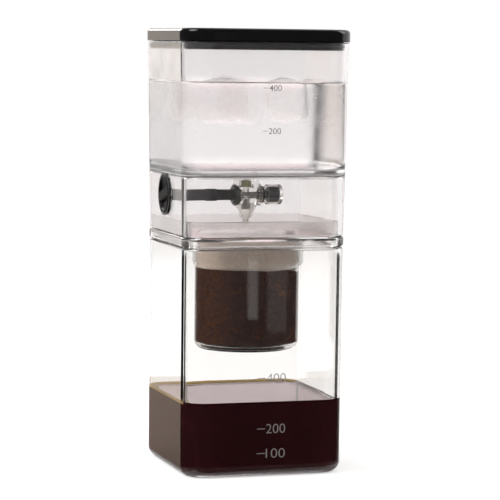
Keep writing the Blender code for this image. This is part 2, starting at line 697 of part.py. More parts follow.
def make_knob(body, shaft, finish):
    """A disc with a grip bar left standing between two scooped recesses."""
    edge = KNOB_ROUND
    front = -KNOB_FACE
    stations = [(KNOB_RADIUS - edge, front), (KNOB_RADIUS, front + edge), (KNOB_RADIUS, -KNOB_BACK)]
    knob = turned("knob", stations, body, finish, "X")
    for name, side in (("upper_scoop", 1), ("lower_scoop", -1)):
        cut(knob, scoop_cutter(name, side, front, body))
    tall = ROD_HEIGHT + 2 * SEAT_GAP
    wide = ROD_THICKNESS + 2 * SEAT_GAP
    socket_left = -KNOB_BACK - ROD_SOCKET_DEPTH
    cut(knob, bar("knob_socket", tall, wide, socket_left, -KNOB_BACK + CUT_OVERRUN, shaft, None))


def scoop_cutter(name, side, front, body):
    """A drafted half-moon pocket above or below the grip bar."""
    rings = []
    for depth, inset in ((-CUT_OVERRUN, 0), (0, 0), (SCOOP_DEPTH, GRIP_DRAFT)):
        radius = KNOB_RADIUS - SCOOP_RIM - inset
        low = GRIP_WIDTH / 2 + inset
        start = math.asin(low / radius)
        ring = []
        for step in range(SCOOP_STEPS + 1):
            angle = start + (math.pi - 2 * start) * step / SCOOP_STEPS
            across = radius * math.cos(angle)
            ring.append(Vector((front + depth, across, side * radius * math.sin(angle))))
        rings.append(ring)
    return skin(name, rings, body, None)


def make_bezel(body, finish):
    """The ring pressed into the tank's wall that the knob turns in."""
    edge = BEZEL_ROUND
    face = -BEZEL_FACE
    back = -WALL_OUTSIDE - SEAT_GAP
    inner_end = -WALL_INSIDE - SEAT_GAP
    stations = [(KNOB_BORE_RADIUS, face), (BEZEL_FLANGE_RADIUS - edge, face)]
    stations += [(BEZEL_FLANGE_RADIUS, face + edge), (BEZEL_FLANGE_RADIUS, back), (BEZEL_RADIUS, back)]
    stations += [(BEZEL_RADIUS, inner_end), (KNOB_BORE_RADIUS, inner_end)]
    turned("knob_bezel", stations, body, finish, "X", closed=True)


def main():
    clear_scene()
    clear = make_material("clear_plastic", (0.86, 0.89, 0.90), 0.05, alpha=0.35)
    black = make_material("black_plastic", (0.012, 0.012, 0.013), 0.22)
    black_silicone = make_material("black_silicone", (0.025, 0.024, 0.025), 0.55)
    pale_silicone = make_material("pale_silicone", (0.74, 0.70, 0.47), 0.50)
    white_plastic = make_material("white_plastic", (0.80, 0.79, 0.76), 0.40)
    steel = make_material("stainless_steel", (0.62, 0.61, 0.60), 0.28, metallic=1.0)

    server_body = datum("server_body", None, (0, 0, 0))
    dripper_body = datum("dripper_body", server_body, (0, 0, DRIPPER_Z))
    filter_body = datum("filter_body", dripper_body, (0, 0, CUP_FLOOR_Z + SEAT_GAP))
    tank_body = datum("tank_body", dripper_body, (0, 0, TANK_Z - DRIPPER_Z))
    lid_body = datum("lid_body", tank_body, (0, 0, LID_Z - TANK_Z))
    valve_axis = datum("valve_axis", tank_body, (0, 0, AXIS_HEIGHT))
    control_body = datum("control_body", valve_axis, (0, 0, 0))
    control_body.rotation_euler.x = KNOB_TILT
    shaft_body = datum("shaft_body", valve_axis, (0, 0, 0))

    make_server(server_body, clear)
    make_dripper(dripper_body, clear)
    make_filter(filter_body, black, steel)
    make_tank(tank_body, clear)
    make_lid(lid_body, black, black_silicone)
    make_valve_body(valve_axis, clear)
    make_valve_inserts(valve_axis, pale_silicone, white_plastic)
    make_bezel(valve_axis, black)
    make_knob(control_body, shaft_body, black)
    make_rod(shaft_body, black)
    make_spindle(shaft_body, black)
    make_pin(shaft_body, steel)
    make_rings(shaft_body, black_silicone)
    make_end_pieces(shaft_body, black, clear)


if __name__ == "__main__":
    main()
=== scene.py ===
"""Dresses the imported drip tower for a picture.

Metres, +Z up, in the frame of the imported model. Clear pieces are built again with fine facets,
and the water, ice, ground coffee and brewed coffee are added. Each piece rides on the body that
carries it.
"""

import math
import random

import bmesh
import bpy
from bpy.props import FloatProperty, FloatVectorProperty, IntProperty, PointerProperty
from mathutils import Matrix, Vector, noise


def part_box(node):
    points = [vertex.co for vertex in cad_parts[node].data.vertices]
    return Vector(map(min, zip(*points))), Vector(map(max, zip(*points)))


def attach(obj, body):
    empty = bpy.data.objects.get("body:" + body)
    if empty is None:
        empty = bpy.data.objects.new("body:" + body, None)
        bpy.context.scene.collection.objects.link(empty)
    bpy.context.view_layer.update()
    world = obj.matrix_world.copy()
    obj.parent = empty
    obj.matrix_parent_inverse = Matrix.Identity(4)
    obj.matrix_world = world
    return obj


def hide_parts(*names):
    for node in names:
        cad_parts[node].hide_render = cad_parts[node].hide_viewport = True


bl_info = {
    "name": "Cold Brew Drip Tower",
    "version": (1, 0, 0),
    "blender": (4, 5, 0),
    "location": "View3D > Sidebar > Drip Tower",
    "description": "Builds a clear drip tower with its water, coffee and studio",
    "category": "Add Mesh",
}

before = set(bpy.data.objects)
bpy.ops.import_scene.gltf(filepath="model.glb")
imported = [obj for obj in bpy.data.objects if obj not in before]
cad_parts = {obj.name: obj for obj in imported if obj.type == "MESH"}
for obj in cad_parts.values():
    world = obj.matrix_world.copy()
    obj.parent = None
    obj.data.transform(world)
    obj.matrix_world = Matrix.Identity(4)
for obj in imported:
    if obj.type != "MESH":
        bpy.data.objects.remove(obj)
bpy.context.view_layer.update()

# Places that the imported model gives
SERVER_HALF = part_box("server")[1].x
SERVER_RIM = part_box("server")[1].z
CUP_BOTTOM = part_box("dripper_cup")[0].z
COLLAR_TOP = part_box("dripper_cup")[1].z
FLANGE_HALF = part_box("dripper_cup")[1].x
TANK_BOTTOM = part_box("water_tank")[0].z
TANK_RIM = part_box("water_tank")[1].z
TANK_TOP_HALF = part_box("water_tank")[1].x
LID_TOP_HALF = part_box("lid_cap")[1].x
LID_BOTTOM, LID_TOP = (corner.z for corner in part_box("lid_cap"))
NOZZLE_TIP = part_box("valve_body")[0].z
VALVE_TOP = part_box("valve_body")[1].z
AXIS_Z = (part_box("retaining_disc")[0].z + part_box("retaining_disc")[1].z) / 2
KNOB_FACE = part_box("knob")[0].x
KNOB_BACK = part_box("knob")[1].x
BEZEL_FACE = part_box("knob_bezel")[0].x
BEZEL_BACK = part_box("knob_bezel")[1].x
KNOB_TILT = math.radians(-15.4)

# Facets of the fine meshes
CORNER_STEPS = 15
RING_POINTS = 4 * (CORNER_STEPS + 1)
FILLET_STEPS = 8
EDGE_STEPS = 4
SCOOP_STEPS = 24
FINE_SIDES = 96
SHARP_ANGLE = math.radians(38)
LIQUID_SHARP_ANGLE = math.radians(60)

PLASTIC_IOR = 1.57
WATER_IOR = 1.333
COFFEE_IOR = 1.34

# A liquid reaches this far into the wall that holds it, so that no film of air shows between
WETTED = 0.0001
CUT_OVERRUN = 0.002
SEAT_GAP = 0.0003
STEP_GAP = 0.0004

# A turned piece's middle is closed by a flat spot of this radius
CENTRE = 0.0003
VALVE_ROUND = 0.0005
EDGE_ROUND = 0.0003
COLLAR_ROUND = 0.0005
NECK_FILLET = 0.0008
MOUTH_ROUND = 0.001
BAND_BLEND = 0.003
CUP_WIDTH = 0.057
LID_ROUND = DISC_ROUND = 0.0004
KNOB_BEVEL = 0.00018
ROD_BEVEL = 0.0002
BOSS_ROUND = 0.0007
CAP_ROUND = 0.0008
COVER_ROUND = 0.0009

# A straight run this long leads into a curve, and a face this near to a height lies at it
LEAD = 0.001
NEAR = 0.0006
HAIR = 0.0001

# The rise of a face's normal that makes it a floor, and the one under which it is a wall
FLOOR_RISE = 0.7
WALL_RISE = 0.3


def linear(hex_code):
    """The linear colour of an sRGB hex value."""
    channels = [int(hex_code[place : place + 2], 16) / 255 for place in (1, 3, 5)]
    return [c / 12.92 if c <= 0.04045 else ((c + 0.055) / 1.055) ** 2.4 for c in channels]


def length(description, default):
    return FloatProperty(description=description, default=default, min=0.0, precision=5, unit="LENGTH")


def colour(description, hex_code):
    return FloatVectorProperty(
        description=description, default=linear(hex_code), subtype="COLOR", min=0.0, max=1.0
    )


def labelled(group):
    """Gives each property of a group its label in the panel, from the property's own name."""
    for name, item in group.__annotations__.items():
        item.keywords["name"] = name.replace("_", " ").capitalize()
    return group


@labelled
class DripTowerSizes(bpy.types.PropertyGroup):
    corner_radius: length("Outer radius of the server's upright corners", 0.0135)
    server_wall: length("Thickness of the server's wall", 0.0030)
    server_floor: length("Thickness of the server's floor", 0.0026)
    server_fillet: length("Outer radius round the server's base", 0.0060)
    server_draft: length("How far each side leans in at the base", 0.0002)
    server_rim_round: length("Radius of the server's rim edges", 0.0008)
    flange_height: length("Height of the dripper's flange", 0.0061)
    flange_round: length("Radius of the flange's edges", 0.0018)
    deck: length("Thickness of the deck that the cup hangs from", 0.0025)
    step_depth: length("How far the dripper drops into the server", 0.0016)
    collar_half: length("Half the outer width of the dripper's collar", 0.04338)
    collar_wall: length("Thickness of the dripper's collar", 0.0020)
    cup_mouth: length("Inner radius of the cup's mouth", 0.0300)
    band_wall: length("Wall of the wider band under the cup's mouth", 0.0028)
    band_depth: length("Depth of the band below the flange's top", 0.0172)
    band_taper: length("Height over which the band narrows to the cup", 0.0025)
    cup_radius: length("Outer radius of the cup", 0.0304)
    cup_wall: length("Thickness of the cup's wall and floor", 0.0020)
    cup_fillet: length("Outer radius round the cup's floor", 0.0050)
    drain_hole: length("Radius of the holes in the cup's floor", 0.0014)
    drain_pitch: length("Distance between rings of drain holes", 0.0052)
    tank_base_half: length("Half the tank's outer width at its base", 0.04635)
    floor_height: length("Height of the tank's floor above its base", 0.0336)
    tank_floor: length("Thickness of the tank's floor", 0.0024)
    skirt_wall: length("Wall of the tank's skirt at its base", 0.0025)
    skirt_top_wall: length("Wall of the tank's skirt under the floor", 0.0033)
    waist_wall: length("Wall of the tank above its floor", 0.0030)
    rim_wall: length("Wall of the tank at its rim", 0.0022)
    tank_fillet: length("Radius inside the tank round its floor", 0.0050)
    tank_rim_round: length("Radius of the tank's rim edges", 0.0006)
    skirt_fillet: length("Radius between the tank's floor and its skirt", 0.0025)
    spigot_radius: length("Outer radius of the tank's outlet", 0.0019)
    spigot_bore: length("Bore radius of the tank's outlet", 0.0010)
    spigot_length: length("Length of the outlet below the floor", 0.0072)
    lid_top: length("Thickness of the lid's top", 0.0020)
    lid_round: length("Radius of the lid's top edge", 0.0022)
    plug_wall: length("Wall of the lid's plug", 0.0020)
    plug_clearance: length("Gap between the plug and the tank's wall", 0.0006)
    seal_groove: length("Depth of the groove round the plug", 0.0008)


@labelled
class DripTowerValve(bpy.types.PropertyGroup):
    valve_radius: length("Outer radius of the valve body", 0.0073)
    neck: length("Radius at the funnel's foot", 0.0028)
    nozzle: length("Outer radius of the nozzle", 0.0020)
    nozzle_bore: length("Bore radius of the nozzle", 0.0010)
    nozzle_length: length("Length of the nozzle", 0.0034)
    funnel_drop: length("How far the funnel starts below the spindle", 0.0040)
    funnel_wall: length("Wall of the funnel", 0.0017)
    cavity_drop: length("How far the cavity starts below the funnel's top", 0.0012)
    boss_radius: length("Outer radius of the cross boss", 0.0063)
    boss_left: length("Reach of the cross boss to the left", 0.0074)
    boss_right: length("Reach of the cross boss to the right", 0.0082)
    socket_depth: length("Depth of the socket for the tank's outlet", 0.0080)
    socket_radius: length("Radius of the socket for the tank's outlet", 0.0030)
    inlet: length("Radius of the passage under the socket", 0.0010)
    seat_bore: length("Radius of the bore that takes the seat", 0.0029)
    seat_neck: length("Radius of the bore round the seat's neck", 0.0014)
    seat_neck_length: length("Length of the seat's neck", 0.0024)
    plug_bore: length("Radius of the bore that the spindle's boss turns in", 0.0053)
    ring_pocket: length("Radius of the pockets for the sealing rings", 0.0033)
    ring_width: length("Width of the left pocket", 0.0017)
    right_pocket: length("Depth of the right pocket", 0.0032)
    pin_bore: length("Radius of the bore round the pin", 0.0019)
    plug_left: length("Reach of the spindle's boss to the left", 0.0081)
    stem_height: length("Height of the spindle's stem", 0.0060)
    stem_thickness: length("Thickness of the spindle's stem", 0.0040)
    stem_left: length("Reach of the stem to the left", 0.0174)
    tang_height: length("Height of the tang in the rod's sleeve", 0.0036)
    tang_thickness: length("Thickness of the tang in the rod's sleeve", 0.0022)
    rod_height: length("Height of the drive rod", 0.0063)
    rod_thickness: length("Thickness of the drive rod", 0.0042)
    sleeve_height: length("Height of the rod's sleeve", 0.0068)
    sleeve_thickness: length("Thickness of the rod's sleeve", 0.0050)
    sleeve_length: length("Length of the rod's sleeve", 0.0056)
    chamfer: length("Chamfer along the rod and stem", 0.0009)
    disc_radius: length("Radius of the retaining disc", 0.0049)
    cap_radius: length("Radius of the end cap", 0.00435)
    cover_wall: length("Wall of the end cover", 0.0011)
    knob_radius: length("Radius of the knob", 0.0104)
    knob_round: length("Radius of the knob's front edge", 0.0007)
    grip_width: length("Width of the knob's grip bar", 0.0050)
    scoop_rim: length("Rim left round the knob's recesses", 0.0011)
    scoop_depth: length("Depth of the recesses beside the grip bar", 0.0017)
    scoop_draft: length("How far the recesses narrow", 0.0010)
    rod_socket: length("Depth of the socket in the knob's back", 0.0013)
    ring_bore: length("Bore radius of the ring round the knob", 0.0107)
    ring_radius: length("Outer radius of the ring's sleeve", 0.0113)
    flange_radius: length("Radius of the ring's flange", 0.0120)
    flange_thickness: length("Thickness of the ring's flange", 0.0005)
    knob_hole: length("Radius of the hole in the tank's wall", 0.0116)


@labelled
class DripTowerContents(bpy.types.PropertyGroup):
    water_level: length("Height of the water's surface", 0.2157)
    coffee_level: length("Height of the brewed coffee's surface", 0.0401)
    grounds_level: length("Height of the ground coffee in the cup", 0.1128)
    grounds_slope: length("How much higher the grounds lie on the left", 0.0042)
    bloom_top: length("How far the pale bloom stays below the flange's top", 0.0060)
    meniscus: length("How far a liquid climbs the wall", 0.0014)
    ice_lumps: IntProperty(description="Number of ice lumps", default=3, min=0)
    water: colour("Tint of the water", "#FAF8F8")
    ice: colour("Tint of the ice", "#F7F4F4")
    coffee: colour("Colour of the coffee in depth", "#3A1A1D")
    # The rim's colour is painted backlight, given only to the back and left of the coffee's rim
    coffee_rim_backlight: colour("Colour of the thin coffee along the walls", "#FFDC96")
    grounds_dark: colour("Main colour of the wet ground coffee", "#745048")
    # The lit grains' colour is painted light: the glints, and the lit left side of the grounds
    grounds_red: colour("Colour of the lit grains", "#C87A3C")
    bloom: colour("Colour of the pale bloom on the grounds", "#F6E4D4")
    ink: colour("Ink of the printed scales", "#A39A9A")


@labelled
class DripTowerStudio(bpy.types.PropertyGroup):
    camera_place: FloatVectorProperty(
        description="Where the camera stands",
        default=(-0.39803, -1.28802, 0.23832),
        subtype="XYZ",
        unit="LENGTH",
    )
    yaw: FloatProperty(description="Camera turn to the right", default=math.radians(17.3), subtype="ANGLE")
    pitch: FloatProperty(description="Camera tilt down", default=math.radians(4.95), subtype="ANGLE")
    roll: FloatProperty(description="Camera roll", default=math.radians(0.70), subtype="ANGLE")
    lens: FloatProperty(description="Focal length in millimetres", default=172.4)
    fill: FloatProperty(description="Strength of the soft light all round", default=0.62)
    key: FloatProperty(description="Power of the main softbox", default=9.0, unit="POWER")
    side: FloatProperty(description="Power of the side softbox", default=4.0, unit="POWER")
    rear: FloatProperty(description="Power of the rear softbox", default=3.0, unit="POWER")


# Materials


def link(tree, node, inputs):
    """Fills a node's inputs with values, with other nodes' outputs, or with a node's first output."""
    for key, value in inputs.items():
        if isinstance(value, bpy.types.Node):
            value = value.outputs[0]
        if isinstance(value, bpy.types.NodeSocket):
            tree.links.new(value, node.inputs[key])
        else:
            node.inputs[key].default_value = value


def add_node(tree, kind, inputs=None, stops=(), **settings):
    """Adds a node, sets it up with its settings or colour stops, and links or fills its inputs."""
    node = tree.nodes.new(kind)
    for key, value in settings.items():
        setattr(node, key, value)
    for index, (place, tint) in enumerate(stops):
        if index > 1:
            node.color_ramp.elements.new(1.0)
        node.color_ramp.elements[index].position = place
        node.color_ramp.elements[index].color = (*tint, 1.0)
    link(tree, node, inputs or {})
    return node


def new_material(name, **values):
    """A material and its shader, with values for the shader's own sockets."""
    material = bpy.data.materials.new(name)
    material.use_nodes = True
    shader = material.node_tree.nodes["Principled BSDF"]
    for socket, value in values.items():
        shader.inputs[socket.replace("_", " ")].default_value = value
    return material, material.node_tree, shader


def shaded(tint, share):
    return [share * channel for channel in tint]


def uneven(tree, shader, grain_mm, detail, gloss=(), relief_mm=0.0, strength=1.0):
    """Lays a pattern, as wide as a real size in millimetres, over the gloss and the relief.

    Gives the pattern, and the roughness made from it where there is one.
    """
    place = add_node(tree, "ShaderNodeTexCoord")
    inputs = {"Vector": place.outputs["Object"], "Scale": 1000.0 / grain_mm, "Detail": detail}
    pattern = add_node(tree, "ShaderNodeTexNoise", inputs)
    rough = None
    if gloss:
        usual = {"Value": pattern, "From Min": 0.3, "From Max": 0.7, "To Min": gloss[0], "To Max": gloss[1]}
        rough = add_node(tree, "ShaderNodeMapRange", usual)
        link(tree, shader, {"Roughness": rough})
    if relief_mm:
        height = {"Height": pattern, "Distance": relief_mm / 1000.0, "Strength": strength}
        link(tree, shader, {"Normal": add_node(tree, "ShaderNodeBump", height)})
    return pattern, rough


def styrene(name, smooth, rough, smoke, clear, tint):
    """Clear styrene acrylonitrile from a polished mould: glassy, faintly smoky along its edges."""
    material, tree, shader = new_material(
        name, Base_Color=(*linear(tint), 1.0), Transmission_Weight=clear, IOR=PLASTIC_IOR
    )
    # Wipe marks a few centimetres wide, only just seen in a highlight
    wiped = uneven(tree, shader, 30.0, 2.0, (smooth, rough))[1]
    if smoke:
        volume = {"Color": (0.80, 0.79, 0.78, 1.0), "Density": smoke}
        volume = add_node(tree, "ShaderNodeVolumeAbsorption", volume)
        link(tree, tree.nodes["Material Output"], {"Volume": volume})
    return material, tree, shader, wiped


def styrene_moulded(
    name="clear_styrene_moulded", smooth=0.0, rough=0.03, smoke=8.0, clear=1.0, tint="#F8F7F6"
):
    return styrene(name, smooth, rough, smoke, clear, tint)[0]


def styrene_misted(underside, level):
    """The tank's clear plastic, fogged by the fine dew that ice water draws onto it."""
    material, tree, shader, wiped = styrene("clear_styrene_misted", 0.0, 0.03, 0.0, 0.98, "#FBF9F9")
    place = add_node(tree, "ShaderNodeTexCoord")
    spot = add_node(tree, "ShaderNodeSeparateXYZ", {0: place.outputs["Object"]})
    low = underside - 0.001
    high = level + 0.016
    rise = {"Value": spot.outputs["Z"], "From Min": low, "From Max": high}
    rise = add_node(tree, "ShaderNodeMapRange", rise)
    # How thick the dew lies at each height over its lower end
    dew = ((0.0, 0.0), (0.004, 0.20), (0.030, 0.24))
    dew += ((level - low - 0.002, 0.26), (level - low + 0.003, 0.14), (high - low, 0.10))
    stops = [(height / (high - low), (grey, grey, grey)) for height, grey in dew]
    dew = add_node(tree, "ShaderNodeValToRGB", {"Fac": rise}, stops)
    drifts = uneven(tree, shader, 12.0, 4.0, (0.7, 1.25))[1]
    fog = add_node(tree, "ShaderNodeMath", {0: dew, 1: drifts}, operation="MULTIPLY")
    # The warm side stays clear of dew
    side = {"Value": spot.outputs["X"], "From Min": 0.040, "From Max": 0.046, "To Min": 1.0, "To Max": 0.0}
    side = add_node(tree, "ShaderNodeMapRange", side)
    fog = add_node(tree, "ShaderNodeMath", {0: fog, 1: side}, operation="MULTIPLY")
    both = add_node(tree, "ShaderNodeMath", {0: fog, 1: wiped}, operation="MAXIMUM")
    link(tree, shader, {"Roughness": both})
    return material


def styrene_wetted():
    """The inner face of a clear wall below the water's level. The water's own face stands for it."""
    return new_material("clear_styrene_wetted", Alpha=0.0, Roughness=0.0)[0]


def water_at_wall(tint):
    """Water against clear plastic, where light bends only by the ratio of the two indices."""
    step = WATER_IOR / PLASTIC_IOR
    return new_material(
        "water_at_wall", Base_Color=(*tint, 1.0), Transmission_Weight=1.0, IOR=step, Roughness=0.0
    )[0]


def water_still(tint):
    """Still water, with a ripple of the drips that leave it."""
    material, tree, shader = new_material(
        "still_water", Base_Color=(*tint, 1.0), Transmission_Weight=1.0, IOR=WATER_IOR, Roughness=0.0
    )
    uneven(tree, shader, 14.0, 2.0, (), 0.05, 0.4)
    return material


def ice_cloudy(tint):
    """Melting ice in water: its edges all but vanish, and trapped air clouds the core."""
    material, tree, shader = new_material(
        "cloudy_ice", Base_Color=(*tint, 1.0), Transmission_Weight=1.0, IOR=0.975, Roughness=0.1
    )
    uneven(tree, shader, 14.0, 2.0, (0.15, 0.4), 0.2)
    return material


def coffee_brewed(tint, ior=COFFEE_IOR):
    """Cold brew, so strong that a few millimetres of it are opaque: red-black under a clear gloss."""
    name = "brewed_coffee" if ior > 1.0 else "brewed_coffee_at_wall"
    material, tree, shader = new_material(name, Base_Color=(*tint, 1.0), IOR=ior, Roughness=0.0)
    # Slow swirls some centimetres wide, as the drips stir it
    swirls = uneven(tree, shader, 40.0, 2.0)[0]
    stops = ((0.0, shaded(tint, 0.8)), (1.0, shaded(tint, 1.2)))
    link(tree, shader, {"Base Color": add_node(tree, "ShaderNodeValToRGB", {"Fac": swirls}, stops)})
    return material


def coffee_at_wall(tint):
    """The coffee against the server's wall, where only the step between the two indices shows."""
    return coffee_brewed(tint, COFFEE_IOR / PLASTIC_IOR)


def coffee_rim_painted_backlight(tint):
    """The rim of coffee that climbs the wall, painted a bright amber as if lit through from behind."""
    return new_material(
        "brewed_coffee_painted_backlit_rim", Base_Color=(*tint, 1.0), Transmission_Weight=0.4, IOR=1.1, Roughness=0.2
    )[0]


def coffee_ground(dark, glint):
    """Wet medium-ground coffee: 0.7 mm grains, dark and damp, a few painted with lit red-brown glints."""
    material, tree, shader = new_material("wet_ground_coffee", Roughness=0.5, Specular_IOR_Level=0.4)
    place = add_node(tree, "ShaderNodeTexCoord").outputs["Object"]
    grains = add_node(tree, "ShaderNodeTexVoronoi", {"Vector": place, "Scale": 1000.0 / 0.7})
    patches = uneven(tree, shader, 9.0, 3.0, (0.25, 0.6))[0]
    lit = {"Value": patches, "From Min": 0.3, "From Max": 0.7, "To Min": 0.35, "To Max": 1.0}
    chance = {0: grains.outputs["Color"], 1: add_node(tree, "ShaderNodeMapRange", lit)}
    chance = add_node(tree, "ShaderNodeMath", chance, operation="MULTIPLY")
    # Painted glints: the brightest grains take the lit colour
    stops = ((0.0, shaded(dark, 0.55)), (0.55, dark), (0.95, glint))
    mixed = add_node(tree, "ShaderNodeValToRGB", {"Fac": chance}, stops)
    # Painted light: towards the left the grains are painted lighter and redder, as if lit from that side
    side = add_node(tree, "ShaderNodeSeparateXYZ", {0: place}).outputs["X"]
    painted_left_light = {"Value": side, "From Min": -0.024, "From Max": -0.014, "To Min": 1.0, "To Max": 0.0}
    painted_left_light = add_node(tree, "ShaderNodeMapRange", painted_left_light)
    fine = add_node(tree, "ShaderNodeTexVoronoi", {"Vector": place, "Scale": 1000.0 / 0.55})
    stops = ((0.45, dark), (1.0, shaded(glint, 0.9)))
    painted_lit_grains = add_node(tree, "ShaderNodeValToRGB", {"Fac": fine.outputs["Color"]}, stops)
    blend = add_node(tree, "ShaderNodeMix", {"Factor": painted_left_light, 6: mixed, 7: painted_lit_grains}, data_type="RGBA")
    height = {"Height": grains.outputs["Distance"], "Distance": 0.00012, "Strength": 1.0}
    relief = add_node(tree, "ShaderNodeBump", height)
    link(tree, shader, {"Base Color": blend.outputs[2], "Normal": relief})
    return material


def coffee_bloom(tint):
    """The pale froth that fresh grounds throw up: bubbles of 1 to 2 mm, brown in the hollows."""
    material, tree, shader = new_material(
        "coffee_bloom",
        Roughness=0.45,
        Subsurface_Weight=0.15,
        Subsurface_Scale=0.002,
        Emission_Color=(*tint, 1.0),
    )
    place = add_node(tree, "ShaderNodeTexCoord").outputs["Object"]
    bubbles = add_node(tree, "ShaderNodeTexVoronoi", {"Vector": place, "Scale": 1000.0 / 1.6})
    stops = ((0.35, tint), (1.0, shaded(tint, 0.8)))
    froth = add_node(tree, "ShaderNodeValToRGB", {"Fac": bubbles.outputs["Distance"]}, stops)
    # Painted light: the froth glows, though it is no lamp, most at the left as if lit from that side
    side = add_node(tree, "ShaderNodeSeparateXYZ", {0: place}).outputs["X"]
    painted_left_glow = {"Value": side, "From Min": -0.028, "From Max": -0.018, "To Min": 0.42, "To Max": 0.10}
    painted_left_glow = add_node(tree, "ShaderNodeMapRange", painted_left_glow)
    height = {"Height": bubbles.outputs["Distance"], "Distance": -0.00012, "Strength": 1.0}
    relief = add_node(tree, "ShaderNodeBump", height)
    link(tree, shader, {"Base Color": froth, "Emission Strength": painted_left_glow, "Normal": relief})
    return material


def plastic_moulded(name, hex_code, smooth, rough, grain_mm, depth_mm, ior=1.49, specular=0.5):
    """Opaque moulded plastic, with the slight unevenness of its mould in its gloss and relief."""
    material, tree, shader = new_material(
        name, Base_Color=(*linear(hex_code), 1.0), IOR=ior, Specular_IOR_Level=specular
    )
    uneven(tree, shader, grain_mm, 5.0, (smooth, rough), depth_mm)
    return material


def silicone_cast(name, hex_code, translucent):
    """Cast silicone: soft sheen, light sinks in a little, dust-fine texture."""
    material, tree, shader = new_material(
        name,
        Base_Color=(*linear(hex_code), 1.0),
        IOR=1.41,
        Subsurface_Weight=translucent,
        Subsurface_Scale=0.002,
    )
    uneven(tree, shader, 0.6, 4.0, (0.42, 0.6), 0.01)
    return material


def steel_etched():
    """Stainless sheet, photo-etched and rolled: a satin grain along X."""
    material, tree, shader = new_material(
        "etched_stainless_steel", Base_Color=(*linear("#C9C6C2"), 1.0), Metallic=1.0
    )
    # Rolling lines 0.15 mm apart and some millimetres long
    place = add_node(tree, "ShaderNodeTexCoord").outputs["Object"]
    stretch = add_node(tree, "ShaderNodeMapping", {"Vector": place, "Scale": (200.0, 6600.0, 6600.0)})
    lines = add_node(tree, "ShaderNodeTexNoise", {"Vector": stretch, "Scale": 1.0})
    gloss = {"Value": lines, "From Min": 0.3, "From Max": 0.7, "To Min": 0.25, "To Max": 0.45}
    gloss = add_node(tree, "ShaderNodeMapRange", gloss)
    relief = add_node(tree, "ShaderNodeBump", {"Height": lines, "Distance": 0.00001, "Strength": 1.0})
    link(tree, shader, {"Roughness": gloss, "Normal": relief})
    return material


def ink_printed(tint):
    """Pad-printed ink: thin, matt, and a little uneven where the pad lifted."""
    material, tree, shader = new_material("pad_printed_ink", Roughness=0.6, Alpha=0.72)
    worn = uneven(tree, shader, 0.8, 3.0)[0]
    stops = ((0.0, shaded(tint, 0.86)), (1.0, tint))
    link(tree, shader, {"Base Color": add_node(tree, "ShaderNodeValToRGB", {"Fac": worn}, stops)})
    return material


made_materials = {}


def shared(maker, *values):
    """The material that a maker gives, made once for each set of values."""
    key = (maker.__name__, *(v if isinstance(v, (str, int, float)) else tuple(v) for v in values))
    if key not in made_materials:
        made_materials[key] = maker(*values)
    return made_materials[key]


def clear_plastic():
    return shared(styrene_moulded)


def clear_satin():
    """The cup's wall, a little dulled by washing."""
    return shared(styrene_moulded, "clear_styrene_satin", 0.04, 0.10, 0.0, 0.995)


def clear_scuffed():
    """The dripper's flange and collar, scuffed where they slide into their neighbours."""
    return shared(styrene_moulded, "clear_styrene_scuffed", 0.08, 0.20, 0.0, 0.965, "#FBF8F7")


def clear_sanded():
    """The underside of the tank's floor, from a mould left unpolished."""
    return shared(styrene_moulded, "clear_styrene_sanded", 0.25, 0.40, 0.0, 0.98, "#FBF9F9")


def clear_frosted():
    """The valve body, softened by the cores that shape its bores."""
    return shared(styrene_moulded, "clear_styrene_frosted", 0.06, 0.14, 0.0, 0.97, "#F8F7F4")


def black_gloss():
    return shared(plastic_moulded, "black_abs_polished", "#0D0D0F", 0.06, 0.14, 8.0, 0.004, 1.53)


def black_matt():
    """The knob's fine spark-eroded texture, which scatters nearly all reflections."""
    return shared(plastic_moulded, "black_acetal_textured", "#0C0C0D", 0.42, 0.55, 0.5, 0.012, 1.48, 0.2)


def black_satin():
    return shared(plastic_moulded, "black_acetal_moulded", "#101012", 0.28, 0.42, 0.7, 0.01, 1.48, 0.3)


def black_silicone():
    return shared(silicone_cast, "black_silicone_cast", "#17171A", 0.0)


# Mesh code


def square_ring(half, z, corner_radius):
    """A rounded square whose corners stay concentric with the server's outer corners."""
    radius = corner_radius + half - SERVER_HALF
    centre = half - radius
    points = []
    for quarter in range(4):
        turn = math.pi / 2 * quarter
        middle = Matrix.Rotation(turn, 3, "Z") @ Vector((centre, centre, z))
        for step in range(CORNER_STEPS + 1):
            angle = turn + math.pi / 2 * step / CORNER_STEPS
            points.append(middle + radius * Vector((math.cos(angle), math.sin(angle), 0)))
    return points


def square_rings(stations, sizes):
    return [square_ring(half, z, sizes.corner_radius) for half, z in stations]


def round_rings(stations, points=RING_POINTS):
    """Circles with as many points as a rounded square, so that one can run into the other."""
    rings = []
    for radius, z in stations:
        angles = [2 * math.pi * (index + 0.5) / points for index in range(points)]
        rings.append([Vector((radius * math.cos(a), radius * math.sin(a), z)) for a in angles])
    return rings


def new_piece(name, shape):
    mesh = bpy.data.meshes.new(name)
    bmesh.ops.recalc_face_normals(shape, faces=shape.faces)
    shape.to_mesh(mesh)
    shape.free()
    piece = bpy.data.objects.new(name, mesh)
    bpy.context.scene.collection.objects.link(piece)
    return piece


def skin(name, rings, closed=False):
    """Bridges each ring of points to the next. An open run of rings is capped at both ends."""
    shape = bmesh.new()
    loops = [[shape.verts.new(point) for point in ring] for ring in rings]
    pairs = list(zip(loops, loops[1:], strict=False))
    if closed:
        pairs.append((loops[-1], loops[0]))
    else:
        shape.faces.new(loops[0])
        shape.faces.new(loops[-1])
    for lower, upper in pairs:
        for index, corner in enumerate(lower):
            after = (index + 1) % len(lower)
            shape.faces.new((corner, lower[after], upper[after], upper[index]))
    return new_piece(name, shape)


def fillet(across, along, radius, start, end, steps=FILLET_STEPS):
    """Quarter-round stations about a centre, from one angle in degrees to another."""
    angles = [math.radians(start + (end - start) * step / steps) for step in range(steps + 1)]
    return [(across + radius * math.cos(a), along + radius * math.sin(a)) for a in angles]


